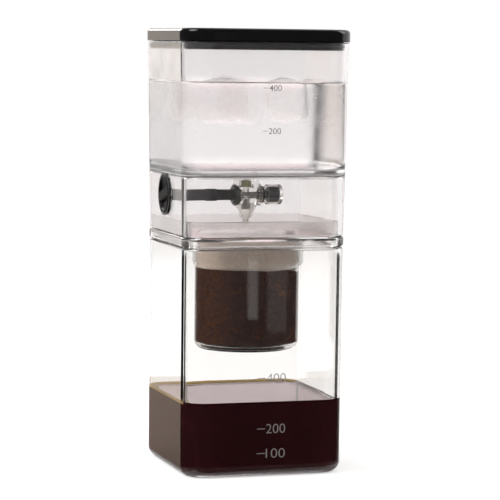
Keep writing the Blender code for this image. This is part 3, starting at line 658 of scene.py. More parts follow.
def turned(name, stations, axis="Z", sides=FINE_SIDES, closed=False):
    """A turned piece. With axis X it lies on the valve's axis, and stations give X."""
    piece = skin(name, round_rings(stations, sides), closed)
    if axis == "X":
        piece.data.transform(Matrix.Rotation(math.pi / 2, 4, "Y"))
        piece.data.transform(Matrix.Translation((0, 0, AXIS_Z)))
    return piece


def soften(stations, radius, steps=EDGE_STEPS, closed=False):
    """Rounds the corners of a run of stations."""
    rounded = []
    count = len(stations)
    for index, (across, along) in enumerate(stations):
        here = Vector((across, along))
        if not closed and index in (0, count - 1):
            rounded.append((across, along))
            continue
        before = Vector(stations[index - 1]) - here
        after = Vector(stations[(index + 1) % count]) - here
        bend = before.angle(after)
        if bend > math.radians(150) or min(before.length, after.length) < 1e-6:
            rounded.append((across, along))
            continue
        reach = min(radius / math.tan(bend / 2), 0.45 * before.length, 0.45 * after.length)
        start = here + before.normalized() * reach
        end = here + after.normalized() * reach
        for step in range(steps + 1):
            share = step / steps
            point = start * (1 - share) ** 2 + here * 2 * share * (1 - share) + end * share**2
            rounded.append(tuple(point))
    return rounded


def combine(piece, *others, operation="DIFFERENCE"):
    """Cuts or joins other shapes, keeps the result as the piece's mesh, and removes them."""
    for other in others:
        step = piece.modifiers.new(other.name, "BOOLEAN")
        step.operation = operation
        step.object = other
        step.solver = "EXACT"
    keep_result(piece)
    for other in others:
        bpy.data.objects.remove(other)


def keep_result(piece):
    """Turns the piece's modifiers into its mesh."""
    graph = bpy.context.evaluated_depsgraph_get()
    piece.data = bpy.data.meshes.new_from_object(piece.evaluated_get(graph))
    piece.modifiers.clear()


def dress(piece, body, material, replaced=(), sharp=SHARP_ANGLE):
    """Gives a piece its finish and shading, and sets it on the body that carries it."""
    piece.data.materials.clear()
    piece.data.materials.append(material)
    piece.data.shade_smooth()
    piece.data.set_sharp_from_angle(angle=sharp)
    # Large flat faces keep their own normals, so that a wall doesn't look bent beside its fillets
    shading = piece.modifiers.new("flat walls", "WEIGHTED_NORMAL")
    shading.keep_sharp = True
    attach(piece, body)
    if replaced:
        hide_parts(*replaced)
    return piece


def paint_faces(piece, chosen, slot=1):
    """Gives one of a piece's further materials to the faces that a test picks by centre and normal."""
    for face in piece.data.polygons:
        if chosen(face.center, face.normal):
            face.material_index = slot


def repaint(node, material):
    """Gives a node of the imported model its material, and leaves its shape alone."""
    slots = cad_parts[node].data.materials
    slots.clear()
    slots.append(material)


def bar(name, height, thickness, chamfer, left, right):
    """A flat bar on the valve's axis, standing on its narrow side, with chamfered edges."""
    tall, wide = height / 2, thickness / 2
    section = []
    for sign_y, sign_z in ((1, 1), (-1, 1), (-1, -1), (1, -1)):
        corner = [(sign_y * wide, sign_z * (tall - chamfer)), (sign_y * (wide - chamfer), sign_z * tall)]
        section += corner if sign_y * sign_z > 0 else corner[::-1]
    return skin(name, [[Vector((x, y, AXIS_Z + z)) for y, z in section] for x in (left, right)])


def bevelled(piece, width, angle=30.0):
    """Rounds a piece's sharp edges by a small radius."""
    edge = piece.modifiers.new("edges", "BEVEL")
    edge.width = width
    edge.segments = 3
    edge.limit_method = "ANGLE"
    edge.angle_limit = math.radians(angle)
    keep_result(piece)
    return piece


# Shapes that more than one piece needs


def tank_half(sizes, z):
    share = (z - TANK_BOTTOM) / (TANK_RIM - TANK_BOTTOM)
    return sizes.tank_base_half + (TANK_TOP_HALF - sizes.tank_base_half) * share


def tank_inside(sizes, grow=0.0):
    """Stations up the inside of the tank from its floor, moved out into the wall by grow."""
    floor = TANK_BOTTOM + sizes.floor_height + sizes.tank_floor
    waist = tank_half(sizes, floor) - sizes.waist_wall
    inner = sizes.tank_fillet
    return fillet(waist - inner, floor + inner, inner + grow, -90, 0)


def tank_inner_half(sizes, z):
    """Half the tank's inner width at a height above its floor's fillet."""
    start, low = tank_inside(sizes)[-1]
    rim = TANK_TOP_HALF - sizes.rim_wall
    return start + (rim - start) * (z - low) / (TANK_RIM - low)


def server_inner_half(sizes, z):
    return SERVER_HALF - sizes.server_draft * (1 - z / SERVER_RIM) - sizes.server_wall


def surface(half, level, climb):
    """Stations of a liquid's surface, from its climb at the wall towards the middle."""
    reach = 0.0018
    steps = (0, 0.0005, 0.001, 0.002, 0.0035, 0.006, 0.009)
    return [(half - back, level + climb * math.exp(-back / reach)) for back in steps]


# Where the rings of an uneven top lie, as shares of its radius
RING_SHARES = (1.0, 0.985, 0.95, 0.9, 0.83, 0.75, 0.66, 0.57, 0.48, 0.39, 0.3, 0.21, 0.12, 0.04)


def grounds_height(contents, x, y):
    """Height of the ground coffee's uneven top."""
    lean = -contents.grounds_slope * x / CUP_WIDTH
    waves = noise.noise(Vector((x, y, 0.0)) * 60.0) * 0.0012
    crumbs = noise.noise(Vector((x, y, 0.3)) * 400.0) * 0.0004
    return contents.grounds_level + lean + waves + crumbs


class DripTowerOperator:
    """What the operators of this panel share."""

    bl_options = {"REGISTER", "UNDO"}

    def execute(self, context):
        scene = context.scene
        self.build(
            scene.drip_tower_sizes,
            scene.drip_tower_valve,
            scene.drip_tower_contents,
            scene.drip_tower_studio,
        )
        return {"FINISHED"}


class DRIPTOWER_OT_server(DripTowerOperator, bpy.types.Operator):
    """Build the square clear server"""

    bl_idname = "drip_tower.server"
    bl_label = "Server"

    def build(self, sizes, valve, contents, studio):
        base = SERVER_HALF - sizes.server_draft
        radius = sizes.server_fillet
        rim = sizes.server_rim_round
        inner_base = base - sizes.server_wall
        inner = radius - sizes.server_wall / 2
        stations = fillet(base - radius, radius, radius, -90, 0)
        stations += fillet(SERVER_HALF - rim, SERVER_RIM - rim, rim, 0, 90, EDGE_STEPS)
        inside_lip = SERVER_HALF - sizes.server_wall + rim
        stations += fillet(inside_lip, SERVER_RIM - rim, rim, 90, 180, EDGE_STEPS)
        stations += fillet(inner_base - inner, sizes.server_floor + inner, inner, 0, -90)
        server = skin("server_vessel", square_rings(stations, sizes))
        dress(server, "server", clear_plastic(), ["server"])


class DRIPTOWER_OT_dripper(DripTowerOperator, bpy.types.Operator):
    """Build the clear dripper: cup, flange, step and collar in one moulding"""

    bl_idname = "drip_tower.dripper"
    bl_label = "Dripper"

    def build(self, sizes, valve, contents, studio):
        low = SERVER_RIM + SEAT_GAP
        high = low + sizes.flange_height
        underside = high - sizes.deck
        band_bottom = high - sizes.band_depth
        band = sizes.cup_mouth + sizes.band_wall
        base = sizes.cup_fillet
        step = SERVER_HALF - sizes.server_wall - STEP_GAP
        edge = sizes.flange_round
        wall_foot = band_bottom - sizes.band_taper

        outside = fillet(sizes.cup_radius - base, CUP_BOTTOM + base, base, -90, 0)
        outside += soften(
            [(sizes.cup_radius, wall_foot - LEAD), (sizes.cup_radius, wall_foot), (band, band_bottom)]
            + [(band, underside - LEAD)],
            BAND_BLEND,
        )
        outside += fillet(band + NECK_FILLET, underside - NECK_FILLET, NECK_FILLET, 180, 90, EDGE_STEPS)
        inner_step = step - sizes.deck
        under = [(inner_step, underside), (inner_step, low - sizes.step_depth)]
        under += [(step, low - sizes.step_depth), (step, low)]
        edge_round = fillet(FLANGE_HALF - edge, low + edge, edge, -90, 0)
        edge_round += fillet(FLANGE_HALF - edge, high - edge, edge, 0, 90)
        collar = sizes.collar_half
        tray = [(collar, high), (collar, COLLAR_TOP), (collar - sizes.collar_wall, COLLAR_TOP)]
        tray += [(collar - sizes.collar_wall, high)]
        mouth = fillet(
            sizes.cup_mouth + MOUTH_ROUND, high - MOUTH_ROUND, MOUTH_ROUND, 90, 180, EDGE_STEPS
        )
        inner_radius = sizes.cup_radius - sizes.cup_wall
        inside = soften(
            [(sizes.cup_mouth, band_bottom + LEAD), (sizes.cup_mouth, band_bottom)]
            + [(inner_radius, wall_foot), (inner_radius, wall_foot - LEAD)],
            BAND_BLEND,
        )
        inner = base - sizes.cup_wall
        floor = CUP_BOTTOM + sizes.cup_wall
        inside += fillet(inner_radius - inner, floor + inner, inner, 0, -90)
        rings = round_rings(outside)
        rings += square_rings(soften(under, EDGE_ROUND, 2) + edge_round + soften(tray, COLLAR_ROUND), sizes)
        cup = skin("dripper_moulding", rings + round_rings(mouth + inside))
        combine(cup, self.drain_holes(sizes, floor))
        dress(cup, "dripper", clear_satin(), ["dripper_cup"])
        cup.data.materials.append(clear_scuffed())
        foot = low - sizes.step_depth - LEAD
        paint_faces(cup, lambda centre, normal: centre.z > foot and not self.deck_top(centre, normal, high))

    def deck_top(self, centre, normal, high):
        """Whether a face is part of the deck's polished top."""
        return normal.z > FLOOR_RISE and abs(centre.z - high) < NEAR

    def drain_holes(self, sizes, floor):
        shape = bmesh.new()
        places = [(0.0, 0.0)]
        for ring in (1, 2, 3):
            for index in range(6 * ring):
                angle = 2 * math.pi * index / (6 * ring)
                reach = ring * sizes.drain_pitch
                places.append((reach * math.cos(angle), reach * math.sin(angle)))
        for x, y in places:
            bmesh.ops.create_cone(
                shape,
                cap_ends=True,
                segments=16,
                radius1=sizes.drain_hole,
                radius2=sizes.drain_hole,
                depth=floor - CUP_BOTTOM + 2 * CUT_OVERRUN,
                matrix=Matrix.Translation((x, y, (floor + CUP_BOTTOM) / 2)),
            )
        return new_piece("drain_holes", shape)


class DRIPTOWER_OT_filter(DripTowerOperator, bpy.types.Operator):
    """Finish the filter's frame and its etched steel disc"""

    bl_idname = "drip_tower.filter"
    bl_label = "Filter"

    def build(self, sizes, valve, contents, studio):
        repaint("filter_frame", black_satin())
        repaint("filter_mesh", shared(steel_etched))


class DRIPTOWER_OT_tank(DripTowerOperator, bpy.types.Operator):
    """Build the clear water tank with its skirt and outlet"""

    bl_idname = "drip_tower.tank"
    bl_label = "Water Tank"

    def build(self, sizes, valve, contents, studio):
        underside = TANK_BOTTOM + sizes.floor_height
        floor = underside + sizes.tank_floor
        spigot_end = underside - sizes.spigot_length
        rim = sizes.tank_rim_round
        base = sizes.tank_base_half
        skirt_top = tank_half(sizes, underside) - sizes.skirt_top_wall
        skirt = base - sizes.skirt_wall

        bore = [(sizes.spigot_bore, spigot_end), (sizes.spigot_bore, floor)]
        inside = tank_inside(sizes)
        shore = contents.water_level + contents.meniscus
        inside.append((tank_inner_half(sizes, shore), shore))
        inside += fillet(TANK_TOP_HALF - sizes.rim_wall + rim, TANK_RIM - rim, rim, 180, 90, EDGE_STEPS)
        outside = fillet(TANK_TOP_HALF - rim, TANK_RIM - rim, rim, 90, 0, EDGE_STEPS)
        foot = [(base, TANK_BOTTOM + CUT_OVERRUN), (base, TANK_BOTTOM), (skirt, TANK_BOTTOM)]
        outside += soften(foot, COLLAR_ROUND)
        corner = sizes.skirt_fillet
        outside += fillet(skirt_top - corner, underside - corner, corner, 0, 90)
        spigot = [(sizes.spigot_radius, underside), (sizes.spigot_radius, spigot_end)]
        rings = round_rings(bore) + square_rings(inside + outside, sizes) + round_rings(spigot)
        tank = skin("tank_vessel", rings, closed=True)
        reach = [(valve.knob_hole, BEZEL_FACE - CUT_OVERRUN), (valve.knob_hole, BEZEL_BACK + CUT_OVERRUN)]
        combine(tank, turned("knob_hole", reach, "X"))
        misted = shared(styrene_misted, underside, contents.water_level)
        dress(tank, "tank", misted, ["water_tank"])
        tank.data.materials.append(shared(styrene_wetted))
        tank.data.materials.append(clear_sanded())
        paint_faces(
            tank, lambda centre, normal: normal.z < -FLOOR_RISE and abs(centre.z - underside) < LEAD, 2
        )
        top = contents.water_level + contents.meniscus
        paint_faces(tank, lambda centre, normal: self.wetted(centre, normal, underside, top))

    def wetted(self, centre, normal, underside, top):
        """Whether a face of the tank's inner wall or floor lies under water."""
        inward = normal.x * centre.x + normal.y * centre.y < -1e-6
        return underside < centre.z < top and (inward or normal.z > FLOOR_RISE)


class DRIPTOWER_OT_lid(DripTowerOperator, bpy.types.Operator):
    """Build the black lid and finish its seal"""

    bl_idname = "drip_tower.lid"
    bl_label = "Lid"

    def build(self, sizes, valve, contents, studio):
        outer = LID_TOP_HALF
        seat = TANK_RIM + SEAT_GAP
        plug = TANK_TOP_HALF - sizes.rim_wall - sizes.plug_clearance
        inner = plug - sizes.plug_wall
        groove = plug - sizes.seal_groove
        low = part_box("lid_seal")[0].z - SEAT_GAP
        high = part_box("lid_seal")[1].z + SEAT_GAP
        top_round = sizes.lid_round
        hollow = [(inner, LID_TOP - sizes.lid_top), (inner, LID_BOTTOM), (plug, LID_BOTTOM)]
        side = [(plug, low), (groove, low), (groove, high), (plug, high), (plug, seat)]
        side += [(outer, seat), (outer, LID_TOP - top_round)]
        stations = soften(hollow + side, LID_ROUND, 3)
        stations += fillet(outer - top_round, LID_TOP - top_round, top_round, 6, 90)
        lid = skin("lid_shell", square_rings(stations, sizes))
        dress(lid, "lid", black_gloss(), ["lid_cap"])
        repaint("lid_seal", black_silicone())


class DRIPTOWER_OT_valve(DripTowerOperator, bpy.types.Operator):
    """Build the clear valve body, and finish the gasket and seat inside it"""

    bl_idname = "drip_tower.valve"
    bl_label = "Drip Valve"

    def build(self, sizes, valve, contents, studio):
        radius, neck, nozzle = valve.valve_radius, valve.neck, valve.nozzle
        funnel_top = AXIS_Z - valve.funnel_drop
        funnel_bottom = NOZZLE_TIP + valve.nozzle_length
        outside = [(nozzle, NOZZLE_TIP), (nozzle, funnel_bottom), (neck, funnel_bottom)]
        outside += [(radius, funnel_top), (radius, VALVE_TOP)]
        stations = [(CENTRE, NOZZLE_TIP), *outside, (CENTRE, VALVE_TOP)]
        body = turned("drip_valve", soften(stations, VALVE_ROUND, 3))
        left, right, boss = -valve.boss_left, valve.boss_right, valve.boss_radius
        stations = [(CENTRE, left), (boss, left), (boss, right), (CENTRE, right)]
        combine(body, turned("cross_boss", soften(stations, VALVE_ROUND, 3), "X"), operation="UNION")

        floor = VALVE_TOP - valve.socket_depth
        socket = [(valve.inlet, AXIS_Z), (valve.inlet, floor), (valve.socket_radius, floor)]
        socket += [(valve.socket_radius, VALVE_TOP + CUT_OVERRUN)]
        slope = (radius - neck) / (funnel_top - funnel_bottom)
        cavity = funnel_top - valve.cavity_drop
        cavity_radius = radius - valve.funnel_wall - slope * valve.cavity_drop
        throat = cavity - (cavity_radius - valve.nozzle_bore) / slope
        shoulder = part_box("orifice_seat")[1].z - valve.seat_neck_length
        passage = [(valve.nozzle_bore, NOZZLE_TIP - CUT_OVERRUN), (valve.nozzle_bore, throat)]
        passage += [(cavity_radius, cavity), (valve.seat_bore, cavity), (valve.seat_bore, shoulder)]
        passage += [(valve.seat_neck, shoulder), (valve.seat_neck, AXIS_Z)]
        plug_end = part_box("valve_spindle")[1].x + SEAT_GAP
        ring_end = plug_end + valve.ring_width
        pocket = right - valve.right_pocket
        cross = [(valve.plug_bore, left - CUT_OVERRUN), (valve.plug_bore, plug_end)]
        cross += [(valve.ring_pocket, plug_end), (valve.ring_pocket, ring_end)]
        cross += [(valve.pin_bore, ring_end), (valve.pin_bore, pocket), (valve.ring_pocket, pocket)]
        cross += [(valve.ring_pocket, right + CUT_OVERRUN)]
        combine(
            body,
            turned("inlet_bore", socket),
            turned("funnel_bore", passage),
            turned("cross_bore", cross, "X"),
        )
        dress(body, "tank", clear_frosted(), ["valve_body"])
        repaint("inlet_gasket", shared(silicone_cast, "amber_silicone_cast", "#E4DB9C", 0.4))
        white = shared(plastic_moulded, "white_polypropylene_moulded", "#F2F0EC", 0.3, 0.45, 0.9, 0.01)
        repaint("orifice_seat", white)


class DRIPTOWER_OT_knob(DripTowerOperator, bpy.types.Operator):
    """Build the knob with its grip bar, and the ring that it turns in"""

    bl_idname = "drip_tower.knob"
    bl_label = "Knob"

    def build(self, sizes, valve, contents, studio):
        radius, edge = valve.knob_radius, valve.knob_round
        stations = [(CENTRE, KNOB_FACE), *fillet(radius - edge, KNOB_FACE + edge, -edge, 90, 180, 5)]
        back = [(radius, KNOB_BACK - edge), (radius, KNOB_BACK), (CENTRE, KNOB_BACK)]
        stations += soften(back, EDGE_ROUND, 3)
        knob = turned("control_knob", stations, "X")
        combine(knob, *(self.scoop(valve, side) for side in (1, -1)))
        tall, wide = valve.rod_height + 2 * SEAT_GAP, valve.rod_thickness + 2 * SEAT_GAP
        socket_end = KNOB_BACK - valve.rod_socket
        combine(knob, bar("socket", tall, wide, valve.chamfer, socket_end, KNOB_BACK + CUT_OVERRUN))
        bevelled(knob, KNOB_BEVEL)
        dress(knob, "valve_control", black_matt(), ["knob"])

        bore, ring, flange = valve.ring_bore, valve.ring_radius, valve.flange_radius
        back = BEZEL_FACE + valve.flange_thickness
        profile = [(bore, BEZEL_FACE), (flange, BEZEL_FACE), (flange, back), (ring, back)]
        profile += [(ring, BEZEL_BACK), (bore, BEZEL_BACK)]
        bezel = turned("knob_ring", soften(profile, EDGE_ROUND, 3, closed=True), "X", closed=True)
        dress(bezel, "tank", black_gloss(), ["knob_bezel"])

    def scoop(self, valve, side):
        """A half-moon recess, deepest beside the grip bar and rising to the knob's rim."""
        tilt = Matrix.Rotation(KNOB_TILT, 3, "X")
        outer = valve.knob_radius - valve.scoop_rim
        inner = valve.grip_width / 2
        rings = []
        for share in (-1.0, 0.0, 0.5, 1.0):
            inset = max(share, 0.0) * valve.scoop_draft
            start = math.asin((inner + inset) / (outer - inset))
            ring = []
            for step in range(SCOOP_STEPS + 1):
                angle = start + (math.pi - 2 * start) * step / SCOOP_STEPS
                across = (outer - inset) * math.cos(angle)
                up = (outer - inset) * math.sin(angle)
                fall = 1.0 - 0.75 * (up - inner) / (outer - inner)
                depth = share * (valve.scoop_depth * fall if share > 0 else CUT_OVERRUN)
                ring.append(tilt @ Vector((KNOB_FACE + depth, across, side * up)) + Vector((0, 0, AXIS_Z)))
            rings.append(ring)
        return skin(f"scoop_{side}", rings)


class DRIPTOWER_OT_spindle(DripTowerOperator, bpy.types.Operator):
    """Build the drive rod, spindle and end pieces, and finish the pin and rings"""

    bl_idname = "drip_tower.spindle"
    bl_label = "Rod and Spindle"

    def build(self, sizes, valve, contents, studio):
        chamfer = valve.chamfer
        left, right = (corner.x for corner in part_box("drive_rod"))
        tall, wide = valve.rod_height, valve.rod_thickness
        rod = bar("drive_rod_fine", tall, wide, chamfer, left, right - EDGE_ROUND)
        start = right - valve.sleeve_length
        sleeve = bar("sleeve", valve.sleeve_height, valve.sleeve_thickness, chamfer, start, right)
        combine(rod, sleeve, operation="UNION")
        tall, wide = valve.tang_height + 2 * SEAT_GAP, valve.tang_thickness + 2 * SEAT_GAP
        combine(rod, bar("rod_socket", tall, wide, EDGE_ROUND, start, right + CUT_OVERRUN))
        bevelled(rod, ROD_BEVEL)
        dress(rod, "valve_control", black_satin(), ["drive_rod"])

        left, right = (corner.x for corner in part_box("valve_spindle"))
        # The boss touches the clear bore round it, as a greased plug does, so no film of air shows
        plug, bore, plug_left = valve.plug_bore + WETTED / 2, valve.pin_bore, -valve.plug_left
        profile = [(bore, plug_left), (plug, plug_left), (plug, right), (bore, right)]
        boss = turned("spindle", soften(profile, BOSS_ROUND, 4, closed=True), "X", closed=True)
        joined = plug_left + chamfer
        stem = bar("stem", valve.stem_height, valve.stem_thickness, chamfer, -valve.stem_left, joined)
        tang = bar("tang", valve.tang_height, valve.tang_thickness, EDGE_ROUND, left, joined - chamfer)
        combine(boss, stem, tang, operation="UNION")
        hole = [(bore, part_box("metering_pin")[0].x - SEAT_GAP), (bore, right + CUT_OVERRUN)]
        combine(boss, turned("bore", hole, "X", 48))
        dress(boss, "valve_control", black_satin(), ["valve_spindle"])

        repaint("metering_pin", shared(steel_etched))
        for ring in ("o_ring_left", "o_ring_right"):
            repaint(ring, black_silicone())

        low, high = (corner.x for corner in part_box("retaining_disc"))
        profile = [(bore, low), (valve.disc_radius, low), (valve.disc_radius, high), (bore, high)]
        disc = turned("keeper_disc", soften(profile, DISC_ROUND, 3, closed=True), "X", closed=True)
        dress(disc, "valve_control", black_satin(), ["retaining_disc"])

        low, high = (corner.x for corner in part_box("end_cap"))
        pin_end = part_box("metering_pin")[1].x + SEAT_GAP
        cap = valve.cap_radius
        profile = [(CENTRE, pin_end), (bore, pin_end), (bore, low), (cap, low), (cap, high), (CENTRE, high)]
        piece = turned("pin_cap", soften(profile, CAP_ROUND, 4), "X")
        dress(piece, "valve_control", black_satin(), ["end_cap"])

        inner = cap + SEAT_GAP
        outer = inner + valve.cover_wall
        inner_end = high + SEAT_GAP
        low, high = (corner.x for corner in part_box("end_cover"))
        profile = [(CENTRE, inner_end), (inner, inner_end), (inner, low), (outer, low)]
        profile += [(outer, high), (CENTRE, high)]
        cover = turned("pin_cover", soften(profile, COVER_ROUND, 5), "X")
        dress(cover, "valve_control", clear_plastic(), ["end_cover"])


class DRIPTOWER_OT_water(DripTowerOperator, bpy.types.Operator):
    """Fill the tank with water and melting ice"""

    bl_idname = "drip_tower.water"
    bl_label = "Water and Ice"

    def build(self, sizes, valve, contents, studio):
        level = contents.water_level
        underside = TANK_BOTTOM + sizes.floor_height
        bore = sizes.spigot_bore + WETTED
        column = [(bore, underside - sizes.spigot_length), (bore, underside + sizes.tank_floor - WETTED)]
        wall = tank_inner_half(sizes, level + contents.meniscus) + WETTED
        rings = round_rings(column)
        rings += square_rings(tank_inside(sizes, WETTED) + surface(wall, level, contents.meniscus), sizes)
        water = skin("tank_water", rings)
        dress(water, "tank", shared(water_still, contents.water), sharp=LIQUID_SHARP_ANGLE)
        water.data.materials.append(shared(water_at_wall, contents.water))
        shore = level + contents.meniscus
        paint_faces(water, lambda centre, normal: centre.z < shore and normal.z < WALL_RISE)

        chance = random.Random(7)
        # Where the lumps float, and the share of their half size that lies under water
        spots = ((-0.020, -0.012), (0.016, -0.016), (-0.004, 0.018), (0.024, 0.014), (-0.026, 0.020))
        sunk = 0.86
        for index in range(contents.ice_lumps):
            x, y = spots[index % len(spots)]
            size = 0.0105 + 0.0025 * chance.random()
            lump = self.ice_lump(index, size, chance)
            lump.location = (x, y, level - sunk * size)
            dress(lump, "tank", shared(ice_cloudy, contents.ice), sharp=math.pi)

    def ice_lump(self, index, size, chance):
        """A cube worn round by melting."""
        shape = bmesh.new()
        bmesh.ops.create_cube(shape, size=2 * size)
        bmesh.ops.subdivide_edges(shape, edges=shape.edges, cuts=7, use_grid_fill=True)
        shift = Vector((chance.random(), chance.random(), chance.random())) * 9.0
        for corner in shape.verts:
            ball = corner.co.normalized() * size * 1.2
            corner.co = corner.co.lerp(ball, 0.55)
            corner.co *= 1.0 + 0.10 * noise.noise(corner.co * 90.0 + shift)
        turn = Matrix.Rotation(chance.uniform(0, 1.5), 4, "Z")
        turn = turn @ Matrix.Rotation(chance.uniform(-0.3, 0.3), 4, "X")
        shape.transform(turn)
        lump = new_piece(f"ice_lump_{index + 1}", shape)
        smooth = lump.modifiers.new("melted", "SUBSURF")
        smooth.levels = smooth.render_levels = 1
        keep_result(lump)
        return lump


class DRIPTOWER_OT_grounds(DripTowerOperator, bpy.types.Operator):
    """Fill the cup with wet ground coffee and its pale bloom"""

    bl_idname = "drip_tower.grounds"
    bl_label = "Ground Coffee"

    def build(self, sizes, valve, contents, studio):
        wall = sizes.cup_radius - sizes.cup_wall + WETTED
        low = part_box("filter_frame")[1].z + HAIR
        # Wet fines fill the gap round the filter's frame, down to the cup's floor
        frame_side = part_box("filter_frame")[1].x + 2 * HAIR
        floor = CUP_BOTTOM + sizes.cup_wall
        inner = sizes.cup_fillet - sizes.cup_wall
        corner = fillet(wall - WETTED - inner, floor + inner, inner + WETTED, -60, 0)
        corner = [spot for spot in corner if spot[0] > frame_side + HAIR]
        bottom = round_rings([(frame_side, low), (frame_side, corner[0][1]), *corner], FINE_SIDES)
        grounds = skin("ground_coffee", bottom + self.top_rings(contents, wall, 0.0))
        wet = shared(coffee_ground, contents.grounds_dark, contents.grounds_red)
        dress(grounds, "dripper", wet, sharp=LIQUID_SHARP_ANGLE)

        flange_top = SERVER_RIM + SEAT_GAP + sizes.flange_height
        foot = flange_top - sizes.band_depth - sizes.band_taper
        # Froth is mostly air, so it stands just off the wall
        mouth = sizes.cup_mouth - 0.00004
        top = flange_top - contents.bloom_top
        over = [(wall - 2 * HAIR, foot), (mouth, foot + sizes.band_taper), (mouth, top - 0.0004)]
        under = self.top_rings(contents, wall - SEAT_GAP, WETTED)
        froth = self.froth_rings(mouth, top)
        bloom = skin("coffee_bloom", under[::-1] + round_rings(over, FINE_SIDES) + froth)
        dress(bloom, "dripper", shared(coffee_bloom, contents.bloom), sharp=math.pi)

    def froth_rings(self, wall, level):
        """Rings over the froth, which clings to the wall and is dimpled in the middle."""
        rings = []
        for share in RING_SHARES:
            ring = []
            for point in round_rings([(wall * share, 0.0)], FINE_SIDES)[0]:
                dimples = noise.noise(point * 160.0) * 0.0007
                point.z = level - 0.0012 * (1 - share**6) + dimples * (1 - share**8)
                ring.append(point)
            rings.append(ring)
        return rings

    def top_rings(self, contents, wall, lift):
        """Rings over the uneven top, from the wall to the middle."""
        rings = []
        for share in RING_SHARES:
            ring = []
            for point in round_rings([(wall * share, 0.0)], FINE_SIDES)[0]:
                point.z = grounds_height(contents, point.x, point.y) + lift
                ring.append(point)
            rings.append(ring)
        return rings


class DRIPTOWER_OT_coffee(DripTowerOperator, bpy.types.Operator):
    """Fill the server with brewed coffee"""

    bl_idname = "drip_tower.coffee"
    bl_label = "Brewed Coffee"

    def build(self, sizes, valve, contents, studio):
        level = contents.coffee_level
        base = SERVER_HALF - sizes.server_draft - sizes.server_wall
        inner = sizes.server_fillet - sizes.server_wall / 2
        stations = fillet(base - inner, sizes.server_floor + inner, inner + WETTED, -90, 0)
        stations.append((server_inner_half(sizes, level) + WETTED, level))
        wall = server_inner_half(sizes, level + contents.meniscus) + WETTED
        stations += surface(wall, level, contents.meniscus)
        coffee = skin("brewed_coffee", square_rings(stations, sizes))
        dress(coffee, "server", shared(coffee_brewed, contents.coffee), sharp=LIQUID_SHARP_ANGLE)
        coffee.data.materials.append(shared(coffee_at_wall, contents.coffee))
        coffee.data.materials.append(shared(coffee_rim_painted_backlight, contents.coffee_rim_backlight))
        rim = level + 0.15 * contents.meniscus
        shore = level + contents.meniscus
        paint_faces(coffee, lambda centre, normal: normal.z < WALL_RISE and centre.z < rim, 1)
        # Painted backlight: the back and left of the rim take the bright amber rim material
        paint_faces(coffee, lambda centre, normal: rim <= centre.z <= shore and self.backlit(centre), 2)

    def backlit(self, centre):
        """Whether a spot is in the back or left of the rim, which gets the painted backlight."""
        side, front = 0.030, -0.034
        return centre.y > side or (centre.x < -side and centre.y > front)


class DRIPTOWER_OT_scales(DripTowerOperator, bpy.types.Operator):
    """Print the generic scales on the front of the server and the tank"""

    bl_idname = "drip_tower.scales"
    bl_label = "Printed Scales"

    def build(self, sizes, valve, contents, studio):
        server_face = SERVER_HALF - sizes.server_draft / 2
        ink = shared(ink_printed, contents.ink)
        for text, z in (("400", 0.0548), ("200", 0.0268), ("100", 0.0131)):
            ends = (-0.0060, -0.0013, -0.0007, 0.0103)
            self.mark(f"server_mark_{text}", text, z, -server_face, ends, 0.0052, -0.010, "server", ink)
        for text, z in (("400", 0.2139), ("200", 0.1905)):
            face = tank_half(sizes, z)
            ends = (-0.0050, -0.0021, -0.0017, 0.0053)
            self.mark(f"tank_mark_{text}", text, z, -face, ends, 0.0033, 0.002, "tank", ink)

    def mark(self, name, text, z, y, ends, height, weight, body, ink):
        """A dash and a number, as thick as a print stands proud."""
        dash_left, dash_right, left, right = ends
        curve = bpy.data.curves.new(name, "FONT")
        curve.body = text
        curve.resolution_u = 6
        curve.offset = weight
        holder = bpy.data.objects.new(name, curve)
        bpy.context.scene.collection.objects.link(holder)
        graph = bpy.context.evaluated_depsgraph_get()
        mesh = bpy.data.meshes.new_from_object(holder.evaluated_get(graph))
        bpy.data.objects.remove(holder)
        shape = bmesh.new()
        shape.from_mesh(mesh)
        low = Vector([min(v.co[axis] for v in shape.verts) for axis in range(3)])
        high = Vector([max(v.co[axis] for v in shape.verts) for axis in range(3)])
        for corner in shape.verts:
            across = (corner.co.x - low.x) / (high.x - low.x)
            up = (corner.co.y - low.y) / (high.y - low.y)
            corner.co = (left + across * (right - left), 0.0, (up - 0.5) * height)
        line = 0.085 * height
        dash = [(dash_left, -line), (dash_right, -line), (dash_right, line), (dash_left, line)]
        shape.faces.new([shape.verts.new((x, 0.0, drop / 2)) for x, drop in dash])
        thick = bmesh.ops.extrude_face_region(shape, geom=list(shape.faces))
        moved = [item for item in thick["geom"] if isinstance(item, bmesh.types.BMVert)]
        bmesh.ops.translate(shape, verts=moved, vec=(0.0, 0.00006, 0.0))
        piece = new_piece(name, shape)
        piece.data.transform(Matrix.Translation((0.0, y - 0.00005, z)))
        dress(piece, body, ink)


